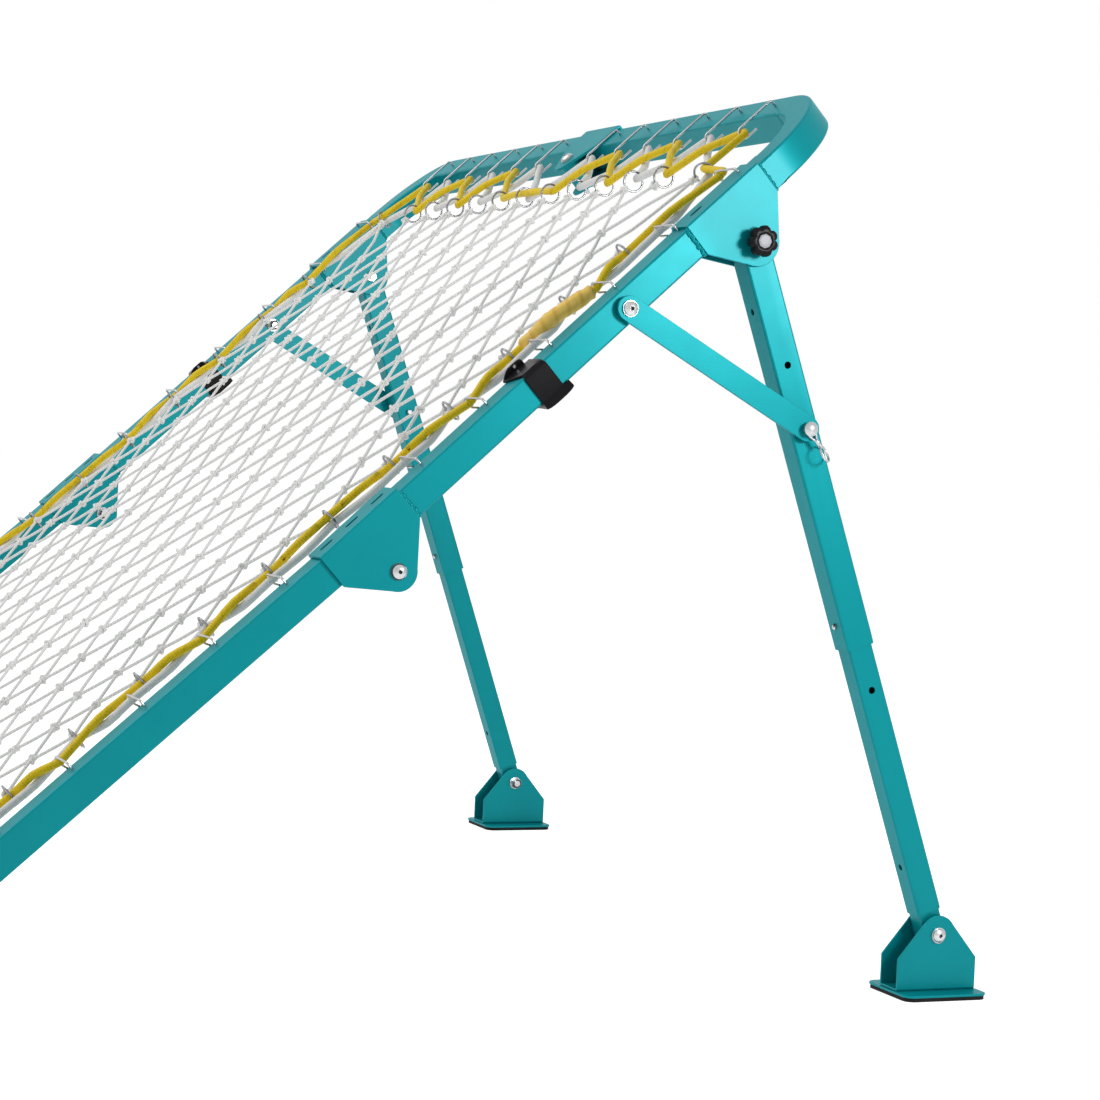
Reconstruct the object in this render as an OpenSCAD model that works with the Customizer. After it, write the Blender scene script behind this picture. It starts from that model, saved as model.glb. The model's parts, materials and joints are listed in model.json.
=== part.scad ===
// Folding ball rebounder: a hinged square-tube frame with an elastic-laced net,
// held up by two folding, telescoping legs with braces.
// X is across the frame, Y runs from the net's low front edge to the feet, Z is up.

/* [Frame] */
// Width of the frame over its side tubes
frame_w = 1520; // [1460:10:1600]
// Length of one half of the frame, from the hinge line to its end bar
half_l = 820; // [800:5:860]
// Outer width of the square frame tube
tube_w = 40; // [38:1:42]
// Wall of the frame tube
tube_wall = 2; // [1.5:0.5:3]
// Outer radius of the bent corners
corner_r = 130; // [110:5:150]
// Tilt of the lower half from the ground
tilt_lower = 41.3; // [39:0.1:43]
// Angle by which the hinges let the two halves pull forward
hinge_play = 1.5; // [0.5:0.1:2]

/* [Brackets] */
// Thickness of the bracket plate
plate_t = 4; // [3:0.5:5]
// Length of the hinge and leg brackets along the tube
bracket_l = 122; // [110:2:134]
// Distance from the tube's back face to the pivot bolt
pivot_gap = 30; // [28:1:34]
// Radius of a hinge bracket's ear round its bolt
hinge_ear_r = 24; // [22:1:27]
// Radius of a leg bracket's ear round its bolt
leg_ear_r = 30; // [27:1:33]
// Radius of the lug that turns between a bracket's cheeks
lug_r = 16; // [14:1:18]
// Length of a plug-weld slot
slot_l = 20; // [14:1:24]
// Width of a plug-weld slot
slot_w = 7; // [5:1:9]

/* [Bolts] */
// Diameter of the pivot bolts
bolt_d = 10; // [8:1:12]
// Diameter of a bolt's button head
head_d = 17.5; // [16:0.5:19]
// Height of a bolt's button head
head_h = 5.5; // [4:0.5:7]
// Diameter of a washer
washer_d = 20; // [19:0.5:22]
// Thickness of a washer
washer_t = 2; // [1:0.5:3]
// Width of a nut across its corners
nut_d = 18; // [17:0.5:20]
// Height of a nut
nut_h = 8; // [6:0.5:10]

/* [Legs] */
// Distance of the leg pivot from the hinge line, along the upper half
leg_pivot_at = 604; // [594:2:614]
// Angle of the open legs from the ground
leg_angle = 70.8; // [69:0.2:73]
// Outer width of the upper leg tube
leg_w = 38; // [37:0.5:39]
// Wall of the upper leg tube
leg_wall = 2; // [1.5:0.5:2]
// Outer width of the sliding lower leg tube
slider_w = 33; // [32:0.5:33]
// Wall of the sliding lower leg tube
slider_wall = 2; // [1.5:0.5:2.5]
// Length of the upper leg tube past its pivot
leg_top = 20; // [16:1:20]
// Distance from the leg pivot to the upper leg tube's lower end
leg_outer_l = 522; // [515:1:535]
// Distance from the leg pivot to the sliding tube's upper end
slider_top_at = 440; // [430:1:445]
// Distance from the sliding tube's lower end to the foot bolt
slider_end_gap = 30; // [28:1:34]
// Distance from the leg pivot to the snap button
button_at = 490; // [484:1:496]
// Distance from the leg pivot to the upper button hole
stow_hole_at = 83; // [70:1:100]
// Distance from the leg pivot to the spare pin hole
spare_hole_at = 156; // [140:1:180]
// Distance from the leg pivot to the sliding tube's side hole
slider_hole_at = 579; // [560:1:600]
// Distance from the leg pivot to the sliding tube's lower button hole
low_hole_at = 813; // [790:1:830]
// Diameter of the snap button
button_d = 8; // [6:0.5:10]
// Height of the snap button above the upper leg tube
button_rise = 4; // [3:0.5:5]
// Diameter of the spare holes
hole_d = 9; // [7:0.5:11]

/* [Braces] */
// Distance of the brace bolt from the hinge line, along the upper half
brace_bolt_at = 421; // [411:1:431]
// Depth of the brace bolt behind the tube's front face
brace_bolt_depth = 23; // [18:1:26]
// Distance from the leg pivot to the lock pin, along the leg
lock_at = 237.5; // [225:0.5:250]
// Width of a brace
brace_w = 31; // [28:1:34]
// Thickness of a brace
brace_t = 5; // [4:0.5:6]
// Diameter of the lock pin
pin_d = 9; // [8:0.5:10]
// Diameter of the lock pin's head
pin_head_d = 18; // [16:1:20]
// Height of the lock pin's head
pin_head_h = 8; // [6:0.5:10]
// Diameter of the split ring on the lock pin
split_ring_d = 22; // [18:1:24]
// Wire of the split ring and its stirrup
stirrup_wire = 2.4; // [2:0.2:3]
// Length of the stirrup from the pin to the split ring
stirrup_l = 28; // [24:1:34]
// Outer diameter of the star knob
knob_d = 39; // [36:1:44]
// Height of the star knob
knob_h = 20; // [16:1:24]

/* [Clips] */
// Distance of the leg clip from the hinge line, along the upper half
clip_at = 282; // [270:1:300]
// Length of the leg clip along the tube
clip_l = 44; // [36:1:50]
// Wall of the leg clip
clip_wall = 3; // [2:0.5:3]
// Depth of the leg clip's bumper behind the tube
bumper_h = 9; // [6:0.5:11]

/* [Feet] */
// Height of the foot bolt above the ground
foot_bolt_h = 78; // [74:1:84]
// Length of a foot bracket
foot_l = 112; // [104:2:118]
// Outer width of a foot bracket
foot_w = 45; // [44:1:48]
// Thickness of a foot bracket
foot_t = 3; // [2:0.5:4]
// Radius of a foot bracket's ear round its bolt
foot_ear_r = 25; // [22:1:28]
// Height at which a foot bracket's sides start to slope
foot_shoulder_h = 49; // [44:1:54]
// Length of a foot's base plate
base_l = 118; // [116:2:130]
// Width of a foot's base plate
base_w = 110; // [100:2:120]
// Thickness of a foot's base plate
base_t = 3; // [2:0.5:4]
// Corner radius of a foot's base plate
base_r = 14; // [8:1:20]
// Thickness of a foot's rubber pad
pad_t = 5; // [4:0.5:6]
// Distance that the rubber pad stands in from the base plate's edge
pad_inset = 1.5; // [1:0.5:3]

/* [Lacing] */
// Wire of the hooks
hook_wire = 3; // [2.5:0.1:3.5]
// Pitch of the hooks along the side tubes
side_pitch = 108; // [106:1:109]
// Pitch of the hooks along the end bars
end_pitch = 100; // [97:1:102]
// Distance of a hook's hole from the frame's outer edge
hook_base = 20; // [16:1:22]
// Distance from a hook's hole to the cord it holds
hook_reach = 56; // [50:1:58]
// Height of a hook's shank above the front face
hook_rise = 10; // [9:0.5:12]
// Bend radius of a hook round its cord
hook_bend_r = 7.5; // [7.5:0.5:9]
// Length of a hook's returning end
hook_return_l = 18; // [12:1:20]
// Length of a hook's tip behind the front face
hook_tip_l = 7; // [5:1:10]
// Outer diameter of a net ring
ring_d = 30; // [28:1:32]
// Wire of a net ring
ring_wire = 3; // [2.5:0.1:3.5]
// Diameter of the elastic cords
cord_d = 10; // [9:0.5:10]
// Rise and fall of the two cords where they cross
cord_lift = 6.6; // [6.4:0.1:7.2]
// Length of the tape sleeve over the cord's joint
sleeve_l = 42; // [36:1:46]

/* [Net] */
// Half width of the net between its edge knots
net_half_w = 640; // [630:1:645]
// Half length of the net between its edge knots
net_half_l = 647; // [640:1:655]
// Width of the net's twine
twine_d = 3.4; // [2.5:0.1:4]
// Height of the net above the tubes' front face
net_rise = 4; // [3:0.5:5]

/* [Hidden] */
$fn = 48;

teal = "#049aa0";
steel = "#c9ccd0";
black = "#1a1a1c";
twine = "#f2f0ea";
yellow = "#e3bd22";
white = "#e9e9e4";

// Clearances
fit = 0.3;      // flat pieces that seat on or slide past each other
run = 0.05;     // radius by which a bore is larger than its shaft
seat = 0.3;     // soft and laced pieces beside what holds them
slack = 1.5;    // room for a cord where it bends through a ring

half_w = frame_w / 2;
tilt_upper = tilt_lower + hinge_play;
mid_tilt = tilt_lower + hinge_play / 2;
pivot_drop = tube_w + pivot_gap;
side_x = half_w - tube_w / 2;
cheek_x = tube_w / 2 + fit;
grip = cheek_x + plate_t;
end_gap = pivot_drop * tan(hinge_play / 2) + fit;
web_gap = bracket_l / 2 * sin(hinge_play) + fit;

// The side pivots stand at the height that rests the bottom bar's bracket on the ground
bar_grip = grip - tube_w / 2;
pivot_z = (half_l + plate_t) * sin(tilt_lower) - (pivot_gap - bar_grip) * cos(tilt_lower);
knee_z = pivot_z + leg_pivot_at * sin(tilt_upper);
leg_l = (knee_z - foot_bolt_h) / sin(leg_angle);
leg_lean = 90 - leg_angle;
front_to_pivot = (half_l + plate_t) * cos(tilt_lower) + (pivot_drop + bar_grip) * sin(tilt_lower);
pivot_to_foot = leg_pivot_at * cos(tilt_upper) + leg_l * cos(leg_angle) + base_l / 2;
pivot_y = (front_to_pivot - pivot_to_foot) / 2;
knee_y = pivot_y + leg_pivot_at * cos(tilt_upper);
foot_y = knee_y + leg_l * cos(leg_angle);

// Lacing
hooks_half = 6;
cells = 13;
rings_half = 5;
cell_w = 2 * net_half_w / cells;
cell_l = 2 * net_half_l / cells;
knot_r = 1.35 * twine_d;
mesh_gap = (pivot_drop + net_rise + twine_d) * tan(hinge_play / 2) + fit;
corner_knot = [net_half_w - cell_w / 4, net_half_l];
hook_out_side = half_w - hook_base - hook_reach;
hook_out_end = half_l - hook_base - hook_reach;
hook_t = hook_rise - hook_bend_r;
stack_t = cord_d / 2 + seat;
cord_room = ring_d / 2 - ring_wire - cord_d / 2 - seat;
cord_in_ring = seat + ring_d / 2 + cord_room + seat - slack;
cords_in_ring = seat + ring_d / 2 + sqrt(cord_room * cord_room - stack_t * stack_t) - slack;
cross_t = (hook_t + net_rise) / 2;

// Brace, worked out from the lock pin's place on the leg in the upper half's own plane
leg_dir = -leg_angle - tilt_upper;
pin_s = leg_pivot_at + lock_at * cos(leg_dir);
pin_t = -pivot_drop + lock_at * sin(leg_dir);
brace_run = [pin_s - brace_bolt_at, pin_t + brace_bolt_depth];
brace_l = norm(brace_run);
brace_dir = atan2(brace_run[1], brace_run[0]);
brace_x = half_w + plate_t;
brace_out_x = brace_x + brace_t;

// ---------- places ----------

module upper_half() {
    translate([0, pivot_y, pivot_z]) rotate([tilt_upper, 0, 0]) translate([0, 0, pivot_drop]) children();
}

module lower_half() {
    translate([0, pivot_y, pivot_z]) rotate([tilt_lower, 0, 0]) translate([0, 0, pivot_drop]) children();
}

module left() {
    mirror([1, 0, 0]) children();
}

module turned_about(s, t) {
    translate([0, s, t]) rotate([0, 90, 0]) children();
}

// Leg frame: origin at the leg pivot, the leg runs down -Z, its front face is at -Y
module on_leg() {
    translate([side_x, knee_y, knee_z]) rotate([leg_lean, 0, 0]) children();
}

module on_foot() {
    translate([side_x, foot_y, 0]) children();
}

// ---------- shared shapes ----------

// Where the line from point a touches the circle round c, just inside its edge, on the given side
function touch(a, c, r, side) =
    let (v = a - c, d = norm(v), q = r - 0.3, w = atan2(v[1], v[0]) + side * acos(q / d))
    c + q * [cos(w), sin(w)];

module hollow_square(w, wall) {
    difference() {
        square(w);
        translate([wall, wall]) square(w - 2 * wall);
    }
}

// Plate with the given outline and a round ear of radius r about the bolt
module eared_plate(outline, bolt, r, thickness) {
    linear_extrude(thickness) polygon(outline);
    translate(bolt) cylinder(h = thickness, r = r);
}

// Cheek of a bracket, drawn with the tube's front face on y = 0 and the bolt at [0, -drop]
module cheek(drop, ear_r, top) {
    bolt = [0, -drop];
    right = [bracket_l / 2, -tube_w];
    left = [-bracket_l / 2, -tube_w];
    outline = [
        [left[0], top], [right[0], top], right,
        touch(right, bolt, ear_r, -1), touch(left, bolt, ear_r, 1), left
    ];
    eared_plate(outline, bolt, ear_r, plate_t);
}

// U-shaped bracket along Y: web over the front face, a cheek down each side, a bolt hole
module u_bracket(drop, ear_r, gap, slots) {
    difference() {
        union() {
            for (x = [-grip, cheek_x]) {
                translate([x, 0, 0]) rotate([90, 0, 90]) cheek(drop, ear_r, gap + plate_t);
            }
            translate([-grip, -bracket_l / 2, gap]) cube([2 * grip, bracket_l, plate_t]);
        }
        turned_about(0, -drop) cylinder(h = 4 * tube_w, d = bolt_d + 2 * run, center = true);
        for (s = slots) {
            translate([0, s, gap - 1]) linear_extrude(plate_t + 2) slot_shape();
        }
    }
}

module slot_shape() {
    square([slot_w, slot_l - slot_w], center = true);
    for (s = [-1, 1]) {
        translate([0, s * (slot_l - slot_w) / 2]) circle(d = slot_w - 0.4);
    }
}

// Lug welded to the back of a tube's end, reaching to the bolt between the cheeks
module lug(side) {
    start = end_gap + 4;
    stop = bracket_l / 2 - 6;
    w = 2 * cheek_x - 2 * fit;
    bolt = [0, -pivot_drop];
    high = [start, -tube_w];
    low = [stop, -tube_w];
    difference() {
        translate([-w / 2, 0, 0]) rotate([90, 0, 90]) mirror([side < 0 ? 1 : 0, 0, 0]) {
            outline = [high, low, touch(low, bolt, lug_r, -1), touch(high, bolt, lug_r, 1)];
            eared_plate(outline, bolt, lug_r, w);
        }
        turned_about(0, -pivot_drop) cylinder(h = 4 * tube_w, d = bolt_d + 2 * run, center = true);
    }
}

module washer(x) {
    translate([x, 0, 0]) rotate([0, 90, 0]) difference() {
        cylinder(h = washer_t, d = washer_d);
        translate([0, 0, -1]) cylinder(h = washer_t + 2, d = bolt_d + 2 * run);
    }
}

module nut(x) {
    translate([x, 0, 0]) rotate([0, 90, 0]) difference() {
        cylinder(h = nut_h, d = nut_d, $fn = 6);
        translate([0, 0, -1]) cylinder(h = nut_h + 2, d = bolt_d + 2 * run);
    }
}

// Button-head bolt along X through faces at from and to, its head outside to
module button_bolt(from, to) {
    socket = bolt_d / 2;
    rotate([0, 90, 0]) {
        translate([0, 0, from - washer_t - nut_h - 2]) {
            cylinder(h = to - from + 2 * washer_t + nut_h + 2, d = bolt_d);
        }
        translate([0, 0, to + washer_t]) difference() {
            intersection() {
                cylinder(h = head_h, d = head_d);
                translate([0, 0, head_h - head_d * 0.75]) sphere(d = head_d * 1.5);
            }
            translate([0, 0, head_h / 2]) cylinder(h = head_h, d = socket, $fn = 6);
        }
    }
    washer(to);
    washer(from - washer_t);
    nut(from - washer_t - nut_h);
}

// ---------- frame ----------

// One quarter of the frame: side tube, bent corner and half of the end bar
module quarter_tube() {
    straight = half_l - corner_r - end_gap;
    difference() {
        union() {
            translate([half_w - tube_w, end_gap, 0]) rotate([-90, 0, 0]) {
                linear_extrude(straight) hollow_square(tube_w, tube_wall);
            }
            translate([half_w - corner_r, half_l - corner_r, 0]) {
                rotate_extrude(angle = 90, $fn = 96) {
                    translate([corner_r - tube_w, -tube_w]) hollow_square(tube_w, tube_wall);
                }
            }
            translate([fit, half_l - tube_w, -tube_w]) rotate([90, 0, 90]) {
                linear_extrude(half_w - corner_r - fit) hollow_square(tube_w, tube_wall);
            }
        }
        quarter_hook_places() cylinder(h = 4 * tube_wall, d = hook_wire + 2 * run, center = true);
    }
}

// Puts its child at each hook's hole on a quarter, with the hook's reach along the child's -X
module quarter_hook_places() {
    for (k = [1:hooks_half]) {
        translate([half_w - hook_base, k * side_pitch, 0]) children();
        translate([k * end_pitch, half_l - hook_base, 0]) rotate([0, 0, 90]) children();
    }
}

module brace_bolt_hole() {
    turned_about(brace_bolt_at, -brace_bolt_depth) {
        translate([0, 0, side_x - tube_w]) cylinder(h = 2 * tube_w, d = bolt_d + 2 * run);
    }
}

module upper_right_quarter() {
    upper_half() difference() {
        quarter_tube();
        brace_bolt_hole();
    }
}

module upper_right_tube() {
    color(teal) upper_right_quarter();
}

module upper_left_tube() {
    color(teal) left() upper_right_quarter();
}

module lower_right_tube() {
    color(teal) lower_half() mirror([0, 1, 0]) quarter_tube();
}

module lower_left_tube() {
    color(teal) left() lower_half() mirror([0, 1, 0]) quarter_tube();
}

// ---------- hinges at the middle of the end bars ----------

// Turns a bracket drawn on a side tube so that it sits on the end bar with its web outside
module at_end_bar() {
    translate([0, half_l, -tube_w / 2]) rotate([-90, 0, 0]) rotate([0, 0, 90]) children();
}

module end_bracket() {
    color(teal) at_end_bar() u_bracket(pivot_drop, hinge_ear_r, 0, []);
}

module end_lug() {
    color(teal) at_end_bar() lug(1);
}

module end_bolt() {
    color(steel) at_end_bar() translate([0, 0, -pivot_drop]) rotate([0, 0, 180]) button_bolt(-grip, grip);
}

module top_bar_bracket() {
    upper_half() end_bracket();
}

module top_bar_lug() {
    upper_half() end_lug();
}

module top_bar_bolt() {
    upper_half() end_bolt();
}

module bottom_bar_bracket() {
    lower_half() mirror([0, 1, 0]) end_bracket();
}

module bottom_bar_lug() {
    lower_half() mirror([0, 1, 0]) end_lug();
}

module bottom_bar_bolt() {
    lower_half() mirror([0, 1, 0]) end_bolt();
}

// ---------- side hinges ----------

module side_hinge_bracket() {
    color(teal) upper_half() translate([side_x, 0, 0]) {
        u_bracket(pivot_drop, hinge_ear_r, web_gap, [-bracket_l / 3, 0, bracket_l / 3]);
    }
}

module side_hinge_lug() {
    color(teal) lower_half() translate([side_x, 0, 0]) lug(-1);
}

module side_hinge_bolt() {
    color(steel) upper_half() translate([side_x, 0, -pivot_drop]) button_bolt(-grip, grip);
}

module side_hinge_bracket_right() {
    side_hinge_bracket();
}

module side_hinge_bracket_left() {
    left() side_hinge_bracket();
}

module side_hinge_lug_right() {
    side_hinge_lug();
}

module side_hinge_lug_left() {
    left() side_hinge_lug();
}

module side_hinge_bolt_right() {
    side_hinge_bolt();
}

module side_hinge_bolt_left() {
    left() side_hinge_bolt();
}

// ---------- leg brackets, pivots and knobs ----------

module leg_bracket() {
    color(teal) upper_half() difference() {
        translate([side_x, leg_pivot_at, 0]) {
            u_bracket(pivot_drop, leg_ear_r, 0, [-bracket_l / 4]);
        }
        quarter_hook_places() cylinder(h = 4 * plate_t, d = hook_wire + 2 * run, center = true);
    }
}

// Hex-head bolt with its thread in the star knob, and two washers beside the leg
module leg_pivot_bolt() {
    spacer_t = cheek_x - leg_w / 2 - fit;
    color(steel) on_leg() {
        rotate([0, 90, 0]) {
            translate([0, 0, -grip - head_h]) cylinder(h = head_h, d = nut_d, $fn = 6);
            translate([0, 0, -grip]) cylinder(h = 2 * grip + washer_t + knob_h * 0.7, d = bolt_d);
        }
        washer(grip);
        for (x = [-cheek_x + fit / 2, cheek_x - spacer_t - fit / 2]) {
            translate([x, 0, 0]) rotate([0, 90, 0]) difference() {
                cylinder(h = spacer_t, d = washer_d);
                translate([0, 0, -1]) cylinder(h = spacer_t + 2, d = bolt_d + 2 * run);
            }
        }
    }
}

module star_knob() {
    lobes = 7;
    lobe_r = knob_d * 0.15;
    color(black) on_leg() translate([grip + washer_t + fit, 0, 0]) rotate([0, 90, 0]) difference() {
        union() {
            cylinder(h = knob_h * 0.35, d = knob_d * 0.5);
            translate([0, 0, knob_h * 0.25]) cylinder(h = knob_h * 0.75, r = knob_d / 2 - 1.3 * lobe_r);
            for (a = [0:lobes - 1]) {
                rotate([0, 0, a * 360 / lobes]) translate([knob_d / 2 - lobe_r, 0, knob_h * 0.3]) {
                    cylinder(h = knob_h * 0.6, r = lobe_r);
                }
            }
        }
        translate([0, 0, -1]) cylinder(h = 1 + knob_h * 0.75, d = bolt_d + 2 * run);
    }
}

module leg_bracket_right() {
    leg_bracket();
}

module leg_bracket_left() {
    left() leg_bracket();
}

module leg_pivot_bolt_right() {
    leg_pivot_bolt();
}

module leg_pivot_bolt_left() {
    left() leg_pivot_bolt();
}

module star_knob_right() {
    star_knob();
}

module star_knob_left() {
    left() star_knob();
}

// ---------- clips that the folded legs rest on ----------

module leg_clip() {
    w = tube_w + 2 * fit;
    outer = w + 2 * clip_wall;
    ear_l = clip_l * 0.8;
    ear_h = 8;
    color(black) upper_half() translate([side_x, clip_at, -tube_w / 2]) difference() {
        union() {
            cube([outer, clip_l, outer], center = true);
            translate([0, 4, -outer / 2 - (bumper_h - clip_wall) / 2]) {
                cube([outer - 6, clip_l, bumper_h - clip_wall + 1], center = true);
            }
            translate([-outer / 2, -clip_l / 2 - 5, outer / 2]) cube([clip_wall, ear_l, ear_h]);
            translate([-outer / 2, -clip_l / 2 - 5, outer / 2 - clip_wall]) cube([outer, ear_l, clip_wall]);
        }
        cube([w, 2 * clip_l, w], center = true);
        translate([-outer / 2 - 1, -4, outer / 2 + ear_h / 2]) rotate([0, 90, 0]) {
            cylinder(h = clip_wall + 2, d = ear_h / 2);
        }
    }
}

module leg_clip_right() {
    leg_clip();
}

module leg_clip_left() {
    left() leg_clip();
}

// ---------- legs ----------

module hollow_leg(w, wall, top, bottom) {
    translate([-w / 2, -w / 2, bottom]) linear_extrude(top - bottom) hollow_square(w, wall);
}

// Bore through one wall of a leg tube: on its outer side (+X) or its front (-Y)
module side_bore(at, d) {
    translate([0, 0, -at]) rotate([0, 90, 0]) cylinder(h = leg_w, d = d);
}

module front_bore(at, d) {
    translate([0, 0, -at]) rotate([90, 0, 0]) cylinder(h = leg_w, d = d);
}

module leg_outer() {
    boss = brace_x - fit - side_x;
    color(teal) on_leg() difference() {
        union() {
            hollow_leg(leg_w, leg_wall, leg_top, -leg_outer_l);
            translate([leg_w / 2, 0, -lock_at]) rotate([0, 90, 0]) cylinder(h = boss - leg_w / 2, r = pin_d);
        }
        rotate([0, 90, 0]) cylinder(h = 2 * leg_w, d = bolt_d + 2 * run, center = true);
        translate([0, 0, -lock_at]) rotate([0, 90, 0]) {
            cylinder(h = 3 * leg_w, d = pin_d + 2 * run, center = true);
        }
        side_bore(spare_hole_at, hole_d);
        front_bore(stow_hole_at, button_d + 4 * run);
        front_bore(button_at, button_d + 4 * run);
    }
}

module leg_slider() {
    color(teal) on_leg() difference() {
        hollow_leg(slider_w, slider_wall, -slider_top_at, slider_end_gap - leg_l);
        side_bore(slider_hole_at, hole_d);
        front_bore(button_at, button_d + 4 * run);
        front_bore(low_hole_at, button_d + 4 * run);
    }
}

// Block welded into the sliding tube's end, its eye on the foot bolt
module leg_tongue() {
    w = slider_w - 2 * slider_wall - 2 * fit;
    color(teal) on_leg() translate([0, 0, -leg_l]) difference() {
        union() {
            translate([-w / 2, -w / 2, 0]) cube([w, w, slider_end_gap + w]);
            rotate([0, 90, 0]) cylinder(h = w, d = w, center = true);
        }
        rotate([0, 90, 0]) cylinder(h = 2 * leg_w, d = bolt_d + 2 * run, center = true);
    }
}

module snap_button() {
    inside = slider_w / 2 - slider_wall;
    color(steel) on_leg() translate([0, 0, -button_at]) rotate([90, 0, 0]) {
        translate([0, 0, inside - 3]) cylinder(h = leg_w / 2 - inside + 3 + button_rise / 2, d = button_d);
        translate([0, 0, leg_w / 2 + button_rise - button_d / 2]) intersection() {
            sphere(d = button_d);
            cylinder(h = button_d, d = button_d);
        }
        translate([0, 0, inside - 3]) cylinder(h = 1.5, d = button_d + 4);
    }
}

// Leaf spring inside the sliding tube, bent to a V behind the button
module button_spring() {
    inside = slider_w / 2 - slider_wall;
    leaf = 1;
    reach = 26;
    front = -inside + 3 + seat;
    color(steel) on_leg() translate([-button_d / 2, 0, -button_at]) rotate([90, 0, 90]) linear_extrude(button_d) {
        polygon([
            [front, 8], [front, -8], [0, -reach], [inside - seat, 6],
            [inside - seat - leaf, 6], [0, -reach + 3 * leaf], [front + leaf, -8 + leaf], [front + leaf, 8]
        ]);
    }
}

module leg_outer_right() {
    leg_outer();
}

module leg_outer_left() {
    left() leg_outer();
}

module leg_slider_right() {
    leg_slider();
}

module leg_slider_left() {
    left() leg_slider();
}

module leg_tongue_right() {
    leg_tongue();
}

module leg_tongue_left() {
    left() leg_tongue();
}

module snap_button_right() {
    snap_button();
}

module snap_button_left() {
    left() snap_button();
}

module button_spring_right() {
    button_spring();
}

module button_spring_left() {
    left() button_spring();
}

// ---------- feet ----------

base_top = pad_t + base_t;

module foot_side() {
    bolt = [0, foot_bolt_h];
    right = [foot_l / 2, foot_shoulder_h];
    left = [-foot_l / 2, foot_shoulder_h];
    outline = [
        [left[0], base_top], [right[0], base_top], right,
        touch(right, bolt, foot_ear_r, 1), touch(left, bolt, foot_ear_r, -1), left
    ];
    eared_plate(outline, bolt, foot_ear_r, foot_t);
}

module foot_bracket() {
    color(teal) on_foot() difference() {
        union() {
            for (x = [-foot_w / 2, foot_w / 2 - foot_t]) {
                translate([x, 0, 0]) rotate([90, 0, 90]) foot_side();
            }
            translate([-foot_w / 2, -foot_l / 2, base_top]) cube([foot_w, foot_l, foot_t]);
        }
        translate([0, 0, foot_bolt_h]) rotate([0, 90, 0]) {
            cylinder(h = 2 * foot_w, d = bolt_d + 2 * run, center = true);
        }
    }
}

module rounded_plate(w, l, r) {
    square([w - 2 * r, l], center = true);
    square([w, l - 2 * r], center = true);
    for (x = [-1, 1], y = [-1, 1]) {
        translate([x * (w / 2 - r), y * (l / 2 - r)]) circle(r);
    }
}

module foot_base() {
    color(teal) on_foot() translate([0, 0, pad_t]) linear_extrude(base_t) rounded_plate(base_w, base_l, base_r);
}

module foot_pad() {
    color(black) on_foot() linear_extrude(pad_t) {
        rounded_plate(base_w - 2 * pad_inset, base_l - 2 * pad_inset, base_r - pad_inset);
    }
}

// Foot bolt with its nut, and the two spacer bushes beside the tongue
module foot_bolt() {
    tongue_w = slider_w - 2 * slider_wall - 2 * fit;
    bush_l = foot_w / 2 - foot_t - tongue_w / 2 - 2 * fit;
    color(steel) on_foot() translate([0, 0, foot_bolt_h]) {
        button_bolt(-foot_w / 2, foot_w / 2);
        for (x = [tongue_w / 2 + fit, -tongue_w / 2 - fit - bush_l]) {
            translate([x, 0, 0]) rotate([0, 90, 0]) difference() {
                cylinder(h = bush_l, d = washer_d * 0.8);
                translate([0, 0, -1]) cylinder(h = bush_l + 2, d = bolt_d + 2 * run);
            }
        }
    }
}

module foot_bracket_right() {
    foot_bracket();
}

module foot_bracket_left() {
    left() foot_bracket();
}

module foot_base_right() {
    foot_base();
}

module foot_base_left() {
    left() foot_base();
}

module foot_pad_right() {
    foot_pad();
}

module foot_pad_left() {
    left() foot_pad();
}

module foot_bolt_right() {
    foot_bolt();
}

module foot_bolt_left() {
    left() foot_bolt();
}

// ---------- braces and lock pins ----------

module brace() {
    color(teal) upper_half() translate([brace_x, brace_bolt_at, -brace_bolt_depth]) rotate([brace_dir, 0, 0]) {
        rotate([90, 0, 90]) difference() {
            union() {
                translate([0, -brace_w / 2, 0]) cube([brace_l, brace_w, brace_t]);
                for (s = [0, brace_l]) {
                    translate([s, 0, 0]) cylinder(h = brace_t, d = brace_w);
                }
            }
            translate([0, 0, -1]) cylinder(h = brace_t + 2, d = bolt_d + 2 * run);
            translate([brace_l, 0, -1]) cylinder(h = brace_t + 2, d = pin_d + 2 * run);
        }
    }
}

// Bolt through the side tube, with the spacer that holds the brace off the tube
module brace_bolt() {
    spacer_t = brace_x - half_w - fit;
    color(steel) upper_half() translate([0, brace_bolt_at, -brace_bolt_depth]) {
        button_bolt(half_w - tube_w, brace_out_x);
        translate([half_w, 0, 0]) rotate([0, 90, 0]) difference() {
            cylinder(h = spacer_t, d = washer_d);
            translate([0, 0, -1]) cylinder(h = spacer_t + 2, d = bolt_d + 2 * run);
        }
    }
}

// Lock pin along X: collar, neck and mushroom head outside the brace
collar_t = 1.5;
neck_l = stirrup_wire + 2 * fit;

module lock_pin() {
    tip = leg_w / 2 + 6;
    out = brace_out_x - side_x + fit;
    color(steel) on_leg() translate([0, 0, -lock_at]) rotate([0, 90, 0]) {
        translate([0, 0, -tip]) cylinder(h = tip + out, d = pin_d);
        translate([0, 0, -tip - 2]) cylinder(h = 2, d1 = pin_d - 3, d2 = pin_d);
        translate([0, 0, out]) cylinder(h = collar_t, d = pin_head_d * 0.8);
        translate([0, 0, out + collar_t]) cylinder(h = neck_l, d = pin_d);
        translate([0, 0, out + collar_t + neck_l]) {
            cylinder(h = pin_head_h * 0.4, d = pin_head_d);
            translate([0, 0, pin_head_h * 0.4]) intersection() {
                cylinder(h = pin_head_h * 0.6, d = pin_head_d);
                translate([0, 0, pin_head_h * 0.6 - pin_head_d * 0.7]) sphere(d = pin_head_d * 1.4);
            }
        }
    }
}

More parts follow.
